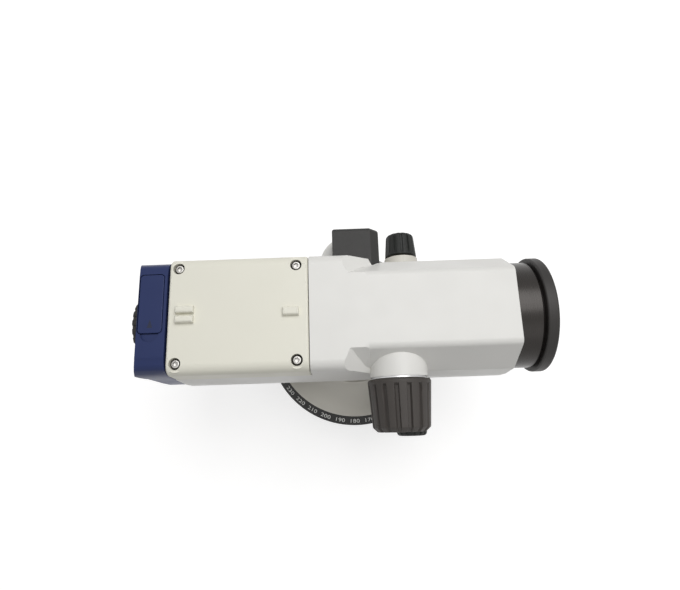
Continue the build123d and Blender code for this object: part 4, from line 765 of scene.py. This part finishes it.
class LEVEL_OT_shells(FinishOperator, bpy.types.Operator):
    """Rounds the edges of the painted and moulded shells"""

    bl_idname = "level.shells"
    bl_label = "Shells"

    def execute(self, context):
        made = []
        reshapes = {"rear_cap": fuller_cap}
        for node, (width, body) in SHELLS.items():
            changes = shoulder_changes() if node == "main_housing" else ()
            mesh = softened(node, width * MM, reshape=reshapes.get(node), changes=changes)
            piece = new_piece(node + "_shell", mesh, body)
            finish_with(piece, cad_slots[node])
            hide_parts(node)
            made.append(piece)
        return self.done(made)


class LEVEL_OT_grips(FinishOperator, bpy.types.Operator):
    """Turns the fluted knobs and the dioptre ring"""

    bl_idname = "level.grips"
    bl_label = "Fluted grips"

    def execute(self, context):
        sizes = context.scene.level_sizes
        tree = turning_tree()
        made = [self.focus_knob(tree, sizes), self.dioptre_ring(tree, sizes)]
        for side, word in ((1, "left"), (-1, "right")):
            made.append(self.fine_knob(tree, sizes, side, word))
        for number in (1, 2, 3):
            made.append(self.foot_knob(tree, sizes, number))
        return self.done(made)

    def focus_knob(self, tree, sizes):
        low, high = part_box("focus_knob")
        length = (high.y - low.y) / MM
        centre_x = (low.x + high.x) / 2 / MM
        centre_z = (low.z + high.z) / 2 / MM
        corners = [
            (3.1, 0.0, 0),
            (15.4, 0.0, 0.3),
            (16.1, 0.9, 0.7),
            (14.4, length - 2.2, 0.9),
            (12.0, length, 0.8),
            (0.0, length, 0),
        ]
        place = axis_place(centre_x, high.y / MM, centre_z, (0, -1, 0))
        mesh = turned_grip(
            tree, "focus_knob_grip", corners, place, "focus_grip", grooves=sizes.focus_flutes,
            depth=1.3, half_width=1.25, start=2.6, run_in=1.0, inner=10.5, steps=32,
        )
        piece = new_piece("focus_knob_grip", mesh, "focus_drive")
        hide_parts("focus_knob")
        return piece

    def fine_knob(self, tree, sizes, side, word):
        node = f"fine_knob_{word}"
        low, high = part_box(node)
        length = (high.y - low.y) / MM
        start_y = (low.y if side > 0 else high.y) / MM
        centre_x = (low.x + high.x) / 2 / MM
        centre_z = (low.z + high.z) / 2 / MM
        corners = [
            (4.1, 0.0, 0),
            (9.5, 0.0, 0.2),
            (10.0, 0.7, 0.6),
            (8.7, length, 2.4),
            (0.0, length, 0),
        ]
        place = axis_place(centre_x, start_y, centre_z, (0, side, 0))
        mesh = turned_grip(
            tree, node + "_grip", corners, place, "black_plastic", grooves=sizes.fine_flutes,
            depth=0.7, half_width=0.85, start=1.3, run_in=1.0, inner=6.9, steps=24,
        )
        piece = new_piece(node + "_grip", mesh, "fine_drive")
        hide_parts(node)
        return piece

    def foot_knob(self, tree, sizes, number):
        node = f"foot_knob_{number}"
        low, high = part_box(node)
        height = (high.z - low.z) / MM
        centre_x, centre_y = FOOT_SCREWS[number]
        corners = [
            (4.1, 0.0, 0),
            (11.6, 0.0, 0.3),
            (12.5, 0.9, 0.8),
            (12.5, height - 2.8, 0.8),
            (10.9, height - 1.2, 0.6),
            (7.2, height - 1.2, 0.3),
            (6.8, height, 0.3),
            (4.1, height, 0),
        ]
        place = axis_place(centre_x, centre_y, low.z / MM, (0, 0, 1))
        mesh = turned_grip(
            tree, node + "_grip", corners, place, "black_plastic", grooves=sizes.foot_flutes,
            depth=1.0, half_width=1.1, start=-2.0, run_in=1.0, inner=9.8, steps=18,
        )
        body = "foot_turn_3" if number == 3 else f"foot_screw_{number}"
        piece = new_piece(node + "_grip", mesh, body)
        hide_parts(node)
        return piece

    def dioptre_ring(self, tree, sizes):
        low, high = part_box("eyepiece_ring")
        length = (high.x - low.x) / MM
        corners = [
            (12.56, 0.0, 0),
            (15.5, 0.0, 0.3),
            (16.0, 0.6, 0.5),
            (16.0, length - 0.9, 0.7),
            (15.1, length, 0.5),
            (12.56, length, 0),
        ]
        place = axis_place(high.x / MM, 0, SIGHT_Z, (-1, 0, 0))
        mesh = turned_grip(
            tree, "eyepiece_ring_grip", corners, place, "rubber", grooves=sizes.ring_flutes,
            depth=0.75, half_width=1.15, start=0.9, run_in=0.9, inner=13.2, steps=18,
        )
        piece = new_piece("eyepiece_ring_grip", mesh, "eyepiece_ring")
        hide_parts("eyepiece_ring")
        return piece


def figures_tree():
    """Figures 0 to 350 bent onto the conical band of the circle."""
    tree, given = new_tree(
        "Circle figures",
        Size=("Float", 3.3 * MM),
        Radius=("Float", 0.0535),
        Height=("Float", 0.0482),
        Slope=("Float", 0.7),
        Bearing=("Float", 0.0),
        Lift=("Float", 0.03 * MM),
        Material=("Material", None),
    )
    loop_in = tree.nodes.new("GeometryNodeRepeatInput")
    loop_out = tree.nodes.new("GeometryNodeRepeatOutput")
    loop_in.pair_with_output(loop_out)
    loop_in.inputs["Iterations"].default_value = 36
    number = calc(tree, "MULTIPLY", loop_in.outputs["Iteration"], 10)
    words = put(tree, "FunctionNodeValueToString", {"Value": number})
    letters = put(
        tree,
        "GeometryNodeStringToCurves",
        {"String": words.outputs[0], "Size": given["Size"], "Character Spacing": 1.04},
        align_x="CENTER",
        align_y="MIDDLE",
    )
    outlines = letters.outputs["Curve Instances"]
    curves = put(tree, "GeometryNodeRealizeInstances", {"Geometry": outlines})
    faces = put(tree, "GeometryNodeFillCurve", {"Curve": curves.outputs["Geometry"]})
    raised = put(
        tree,
        "GeometryNodeExtrudeMesh",
        {"Mesh": faces.outputs["Mesh"], "Offset Scale": given["Lift"], "Individual": False},
        mode="FACES",
    )
    along, up, out = split(tree, position(tree))
    lean_in, lean_up = calc(tree, "COSINE", given["Slope"]), calc(tree, "SINE", given["Slope"])
    turned_by = calc(tree, "RADIANS", calc(tree, "SUBTRACT", number, 180))
    bearing = calc(tree, "SUBTRACT", given["Bearing"], turned_by)
    angle = calc(tree, "ADD", bearing, calc(tree, "DIVIDE", along, given["Radius"]))
    radius = calc(tree, "SUBTRACT", given["Radius"], calc(tree, "MULTIPLY", up, lean_in))
    radius = calc(tree, "ADD", radius, calc(tree, "MULTIPLY", out, lean_up))
    height = calc(tree, "ADD", given["Height"], calc(tree, "MULTIPLY", up, lean_up))
    height = calc(tree, "ADD", height, calc(tree, "MULTIPLY", out, lean_in))
    bent = round_the_axis(tree, radius, angle, height)
    placed = put(tree, "GeometryNodeSetPosition", {"Geometry": raised.outputs["Mesh"], "Position": bent})
    joined = tree.nodes.new("GeometryNodeJoinGeometry")
    tree.links.new(loop_in.outputs["Geometry"], joined.inputs["Geometry"])
    tree.links.new(placed.outputs["Geometry"], joined.inputs["Geometry"])
    tree.links.new(joined.outputs["Geometry"], loop_out.inputs["Geometry"])
    end_tree(tree, loop_out.outputs["Geometry"], given["Material"])
    return tree


def ticks_tree():
    """Degree marks round a drum: each fifth longer, each tenth longest."""
    tree, given = new_tree(
        "Circle marks",
        Radius=("Float", 0.056),
        Height=("Float", 0.0435),
        Length=("Float", 0.0012),
        Width=("Float", 0.00022),
        Bearing=("Float", 0.0),
        Material=("Material", None),
    )
    ring = put(tree, "GeometryNodeMeshCircle", {"Vertices": 360, "Radius": given["Radius"]})
    index = put(tree, "GeometryNodeInputIndex").outputs[0]
    fifth = calc(tree, "COMPARE", calc(tree, "MODULO", index, 5), 0, 0.1)
    tenth = calc(tree, "COMPARE", calc(tree, "MODULO", index, 10), 0, 0.1)
    longer = calc(tree, "ADD", 1, calc(tree, "MULTIPLY", calc(tree, "ADD", fifth, tenth), 0.5))
    size = vector(tree, 0.06 * MM, given["Width"], given["Length"])
    mark = put(tree, "GeometryNodeMeshCube", {"Size": size}).outputs["Mesh"]
    half_up = vector(tree, z=calc(tree, "MULTIPLY", given["Length"], 0.5))
    standing = put(tree, "GeometryNodeTransform", {"Geometry": mark, "Translation": half_up})
    turn = calc(tree, "MULTIPLY", index, math.radians(1))
    marks = put(
        tree,
        "GeometryNodeInstanceOnPoints",
        {
            "Points": ring.outputs["Mesh"],
            "Instance": standing.outputs["Geometry"],
            "Rotation": vector(tree, z=turn),
            "Scale": vector(tree, 1.0, 1.0, longer),
        },
    )
    raised = put(
        tree,
        "GeometryNodeTransform",
        {
            "Geometry": marks.outputs["Instances"],
            "Translation": vector(tree, z=given["Height"]),
            "Rotation": vector(tree, z=given["Bearing"]),
        },
    )
    end_tree(tree, raised.outputs["Geometry"], given["Material"])
    return tree


class LEVEL_OT_circle(FinishOperator, bpy.types.Operator):
    """Writes the figures and degree marks of the horizontal circle"""

    bl_idname = "level.circle"
    bl_label = "Circle figures"

    def execute(self, context):
        sizes = context.scene.level_sizes
        low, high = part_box("horizontal_circle")
        outer = high.x
        inner = 50.9 * MM
        band_low = low.z + 4.6 * MM
        rim_mark_low = low.z + 1.2 * MM
        font_size_for_height = 1.3
        slope = math.atan2(high.z - band_low, outer - inner)
        figures = run_tree(
            figures_tree(),
            "circle_figures",
            Size=sizes.figure_height * font_size_for_height,
            Radius=(outer + inner) / 2,
            Height=(high.z + band_low) / 2,
            Slope=slope,
            Bearing=sizes.figure_turn,
            Lift=0.05 * MM,
            Material=finishes["figures"],
        )
        marks = run_tree(
            ticks_tree(),
            "circle_marks",
            Radius=outer,
            Height=rim_mark_low,
            Bearing=sizes.figure_turn,
            Material=finishes["figures"],
        )
        made = [
            new_piece("circle_figures", figures, "horizontal_circle"),
            new_piece("circle_marks", marks, "horizontal_circle"),
        ]
        return self.done(made)


def hexagon_radius(angle, flat_radius):
    """Distance from the centre of a hexagon to its edge at an angle."""
    return flat_radius / math.cos((angle + math.pi / 6) % (math.pi / 3) - math.pi / 6)


def round_loop(work, height, around, reach):
    """Vertices round the axis at a height; reach gives the radius at an angle."""
    loop = []
    for step in range(around):
        angle = 2 * math.pi * step / around
        radius = reach(angle)
        loop.append(work.verts.new((radius * math.cos(angle), radius * math.sin(angle), height)))
    return loop


def band_between(work, low, high):
    """Four-sided faces between two loops."""
    for step in range(len(low)):
        after = (step + 1) % len(low)
        work.faces.new((low[step], low[after], high[after], high[step]))


def socket_screw_mesh(name, head_radius, head_height, socket_flat, socket_depth, around=48):
    """Cap head with a hexagon socket; the seat is at height 0."""
    chamfer = 0.12 * head_radius
    rings = [
        (head_radius, 0.0, False),
        (head_radius, head_height - chamfer, False),
        (head_radius - 0.3 * chamfer, head_height - 0.3 * chamfer, False),
        (head_radius - chamfer, head_height, False),
        (socket_flat * 1.13, head_height, True),
        (socket_flat, head_height - 0.13 * socket_flat, True),
        (socket_flat, head_height - socket_depth, True),
    ]
    work = bmesh.new()
    loops = []
    for radius, height, hexagonal in rings:
        def reach(angle, radius=radius, hexagonal=hexagonal):
            return hexagon_radius(angle, radius) if hexagonal else radius
        loops.append(round_loop(work, height, around, reach))
    for low, high in zip(loops, loops[1:]):
        band_between(work, low, high)
    seat = work.verts.new((0, 0, 0))
    pit = work.verts.new((0, 0, head_height - socket_depth - 0.35 * socket_flat))
    for step in range(around):
        after = (step + 1) % around
        work.faces.new((loops[0][after], loops[0][step], seat))
        work.faces.new((loops[-1][step], loops[-1][after], pit))
    return mesh_from(work, name)


def ring_mesh(name, inner, outer, low, high, around=48):
    """A flat ring with square edges."""
    work = bmesh.new()
    loops = []
    for radius, height in ((inner, low), (outer, low), (outer, high), (inner, high)):
        loops.append(round_loop(work, height, around, lambda angle, radius=radius: radius))
    for loop, after in zip(loops, [*loops[1:], loops[0]]):
        band_between(work, loop, after)
    return mesh_from(work, name)


def screw_rows_tree():
    """Stands a screw on each corner of a rectangle."""
    tree, given = new_tree(
        "Screws in rows",
        Length=("Float", 0.0587),
        Width=("Float", 0.0476),
        Centre=("Vector", None),
        Material=("Material", None),
    )
    corners = put(
        tree,
        "GeometryNodeMeshGrid",
        {"Size X": given["Length"], "Size Y": given["Width"], "Vertices X": 2, "Vertices Y": 2},
    )
    index = put(tree, "GeometryNodeInputIndex").outputs[0]
    turn = vector(tree, z=calc(tree, "MULTIPLY", index, 0.37))
    stood = {"Points": corners.outputs["Mesh"], "Instance": given["Geometry"], "Rotation": turn}
    screws = put(tree, "GeometryNodeInstanceOnPoints", stood).outputs["Instances"]
    moved = put(tree, "GeometryNodeTransform", {"Geometry": screws, "Translation": given["Centre"]})
    end_tree(tree, moved.outputs["Geometry"], given["Material"])
    return tree


class LEVEL_OT_screws(FinishOperator, bpy.types.Operator):
    """Sets the cap screws into the compensator cover"""

    bl_idname = "level.screws"
    bl_label = "Cover screws"

    def execute(self, context):
        low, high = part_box("cover_screws")
        packed_head = 2.25 * MM
        head_radius, head_height = 1.95 * MM, 2.2 * MM
        socket_flat, socket_depth = 1.1 * MM, 1.3 * MM
        # Dark rings round each head paint the shadow inside the counterbores
        painted_shadow_inner, painted_shadow_outer, painted_shadow_height = 2.0 * MM, 2.86 * MM, 0.3 * MM
        rows = {
            "Length": high.x - low.x - 2 * packed_head,
            "Width": high.y - low.y - 2 * packed_head,
            "Centre": ((low.x + high.x) / 2, 0, high.z - head_height),
        }
        tree = screw_rows_tree()
        heads = run_tree(
            tree,
            "cover_cap_screws",
            socket_screw_mesh("cap_screw", head_radius, head_height, socket_flat, socket_depth),
            Material=finishes["screw_steel"],
            **rows,
        )
        painted_shadows = run_tree(
            tree,
            "counterbore_painted_shadows",
            ring_mesh("counterbore_painted_shadow", painted_shadow_inner, painted_shadow_outer, 0.0, painted_shadow_height),
            Material=finishes["bore_painted_shadow"],
            **rows,
        )
        made = []
        for name, mesh in (("cover_cap_screws", heads), ("counterbore_painted_shadows", painted_shadows)):
            outward(mesh)
            smooth_mesh(mesh, 25)
            made.append(new_piece(name, mesh, "housing"))
        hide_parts("cover_screws")
        return self.done(made)


def prism_mesh(name, outline, low, high, rounding=0.0):
    """A flat piece with the outline's (x, y) corners between two heights."""
    work = bmesh.new()
    bottom = [work.verts.new((x, y, low)) for x, y in outline]
    face = work.faces.new(bottom)
    top = bmesh.ops.extrude_face_region(work, geom=[face])["geom"]
    for vertex in top:
        if isinstance(vertex, bmesh.types.BMVert):
            vertex.co.z = high
    if rounding:
        edges = [edge for edge in work.edges if all(v.co.z > high - 1e-7 for v in edge.verts)]
        bmesh.ops.bevel(work, geom=edges, offset=rounding, segments=2, affect="EDGES", profile=0.5)
    bmesh.ops.recalc_face_normals(work, faces=work.faces)
    return mesh_from(work, name)


def rounded_rectangle(low, high, radius, steps=6):
    """Corners of a rectangle in the XY plane with round corners, anticlockwise."""
    points = []
    centres = (
        (high.x - radius, high.y - radius, 0),
        (low.x + radius, high.y - radius, 90),
        (low.x + radius, low.y + radius, 180),
        (high.x - radius, low.y + radius, 270),
    )
    for x, y, start in centres:
        for step in range(steps + 1):
            angle = math.radians(start + 90 * step / steps)
            points.append((x + radius * math.cos(angle), y + radius * math.sin(angle)))
    return points


class LEVEL_OT_door(FinishOperator, bpy.types.Operator):
    """Makes the hatch door with its arrow"""

    bl_idname = "level.door"
    bl_label = "Hatch door"

    def execute(self, context):
        low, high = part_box("hatch_door")
        corner, rounding = 1.8 * MM, 0.4 * MM
        outline = rounded_rectangle(low, high, corner)
        plate = prism_mesh("hatch_door_plate", outline, low.z, high.z, rounding)
        plate = even_shading(plate, 50)
        door = new_piece("hatch_door_plate", plate, "hatch_door")
        finish_with(door, "blue_paint")
        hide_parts("hatch_door")
        centre = (low.x + high.x) / 2
        foot = low.y + 2.6 * MM
        half, length = 1.3 * MM, 4.2 * MM
        sunk, proud = 0.1 * MM, 0.02 * MM
        triangle = [(centre - half, foot), (centre + half, foot), (centre, foot + length)]
        arrow = prism_mesh("door_arrow", triangle, high.z - sunk, high.z + proud)
        mark = new_piece("door_arrow", arrow, "hatch_door")
        finish_with(mark, "arrow_shade")
        return self.done([door, mark])


class LEVEL_OT_stage(FinishOperator, bpy.types.Operator):
    """Lays the pale floor and sets the soft lights and the camera"""

    bl_idname = "level.stage"
    bl_label = "Floor, lights and camera"

    def execute(self, context):
        scene = context.scene
        self.floor()
        self.world(scene)
        for name, place, aim, size, power in (
            ("top_softbox", (0.25, 0.4, 1.25), (0, 0, 0.1), 1.1, 11.0),
            ("front_softbox", (0.8, -0.8, 0.9), (0, 0, 0.1), 0.9, 1.2),
        ):
            self.softbox(scene, name, Vector(place), Vector(aim), size, power)
        self.camera(scene)
        scene.view_settings.view_transform = "Standard"
        return self.done([scene.camera])

    def floor(self):
        half = 2.0
        mesh = bpy.data.meshes.new("floor")
        corners = [(-half, -half, 0), (half, -half, 0), (half, half, 0), (-half, half, 0)]
        mesh.from_pydata(corners, [], [(0, 1, 2, 3)])
        floor = bpy.data.objects.new("floor", mesh)
        bpy.context.scene.collection.objects.link(floor)
        material, tree, shader, where = new_material("floor_paper")
        paper = tinted(tree, (0.50, 0.495, 0.49), noise(tree, where, 3, 2), 0.01)
        tree.links.new(paper, shader.inputs["Base Color"])
        shader.inputs["Roughness"].default_value = 0.9
        white = calc(tree, "MULTIPLY", seen_directly(tree), FLOOR_WHITE)
        glow = put(tree, "ShaderNodeEmission", {"Color": (1, 1, 1, 1), "Strength": white})
        both = tree.nodes.new("ShaderNodeAddShader")
        tree.links.new(shader.outputs["BSDF"], both.inputs[0])
        tree.links.new(glow.outputs["Emission"], both.inputs[1])
        tree.links.new(both.outputs["Shader"], tree.nodes["Material Output"].inputs["Surface"])
        floor.data.materials.append(material)

    def world(self, scene):
        world = bpy.data.worlds.new("soft_room")
        world.use_nodes = True
        background = world.node_tree.nodes["Background"]
        background.inputs["Color"].default_value = (1.0, 1.0, 1.0, 1)
        tree = world.node_tree
        level = ramp(tree, seen_directly(tree), 0.0, 1.0, ROOM_LIGHT, 1.0)
        tree.links.new(level, background.inputs["Strength"])
        scene.world = world

    def softbox(self, scene, name, place, aim, size, power):
        light = bpy.data.lights.new(name, "AREA")
        light.shape = "DISK"
        light.size = size
        light.energy = power
        lamp = bpy.data.objects.new(name, light)
        turn = (aim - place).to_track_quat("-Z", "Y").to_matrix().to_4x4()
        lamp.matrix_world = Matrix.Translation(place) @ turn
        scene.collection.objects.link(lamp)

    def camera(self, scene):
        """The photograph's view: steep from above, and a little from the focusing knob's side."""
        angles = (CAMERA_AZIMUTH, CAMERA_ELEVATION, CAMERA_ROLL)
        azimuth, elevation, roll = (math.radians(angle) for angle in angles)
        level = math.cos(elevation)
        back = Vector((math.sin(azimuth) * level, -math.cos(azimuth) * level, math.sin(elevation)))
        right = (-back).cross(Vector((0, 0, 1))).normalized()
        up = right.cross(-back)
        right, up = (
            right * math.cos(roll) + up * math.sin(roll),
            -right * math.sin(roll) + up * math.cos(roll),
        )
        place = (Vector(CAMERA_TARGET) + back * CAMERA_DISTANCE) * MM
        lens = bpy.data.cameras.new("photo_camera")
        lens.sensor_fit = "HORIZONTAL"
        lens.sensor_width = SENSOR_WIDTH
        lens.lens = SENSOR_WIDTH * FOCAL_PIXELS / PHOTO_WIDTH
        lens.clip_start = 0.01
        camera = bpy.data.objects.new("photo_camera", lens)
        turn = Matrix((right, up, back)).transposed().to_4x4()
        camera.matrix_world = Matrix.Translation(place) @ turn
        scene.collection.objects.link(camera)
        scene.camera = camera


class LEVEL_PT_pieces(bpy.types.Panel):
    """Lists the steps that finish the level"""

    bl_label = "Automatic level"
    bl_idname = "LEVEL_PT_pieces"
    bl_space_type = "VIEW_3D"
    bl_region_type = "UI"
    bl_category = "Level"

    def draw(self, context):
        for step in STEPS:
            self.layout.operator(step.bl_idname)
        for group in (context.scene.level_colours, context.scene.level_sizes):
            box = self.layout.box()
            for key in group.__annotations__:
                box.prop(group, key)


STEPS = (
    LEVEL_OT_finishes,
    LEVEL_OT_shells,
    LEVEL_OT_grips,
    LEVEL_OT_circle,
    LEVEL_OT_screws,
    LEVEL_OT_door,
    LEVEL_OT_stage,
)
CLASSES = (LevelColours, LevelSizes, *STEPS, LEVEL_PT_pieces)


def register():
    for cls in CLASSES:
        bpy.utils.register_class(cls)
    bpy.types.Scene.level_colours = PointerProperty(type=LevelColours)
    bpy.types.Scene.level_sizes = PointerProperty(type=LevelSizes)


def unregister():
    del bpy.types.Scene.level_sizes
    del bpy.types.Scene.level_colours
    for cls in reversed(CLASSES):
        bpy.utils.unregister_class(cls)


def main():
    register()
    bpy.ops.level.finishes()
    bpy.ops.level.shells()
    bpy.ops.level.grips()
    bpy.ops.level.circle()
    bpy.ops.level.screws()
    bpy.ops.level.door()
    bpy.ops.level.stage()


if __name__ == "__main__":
    main()
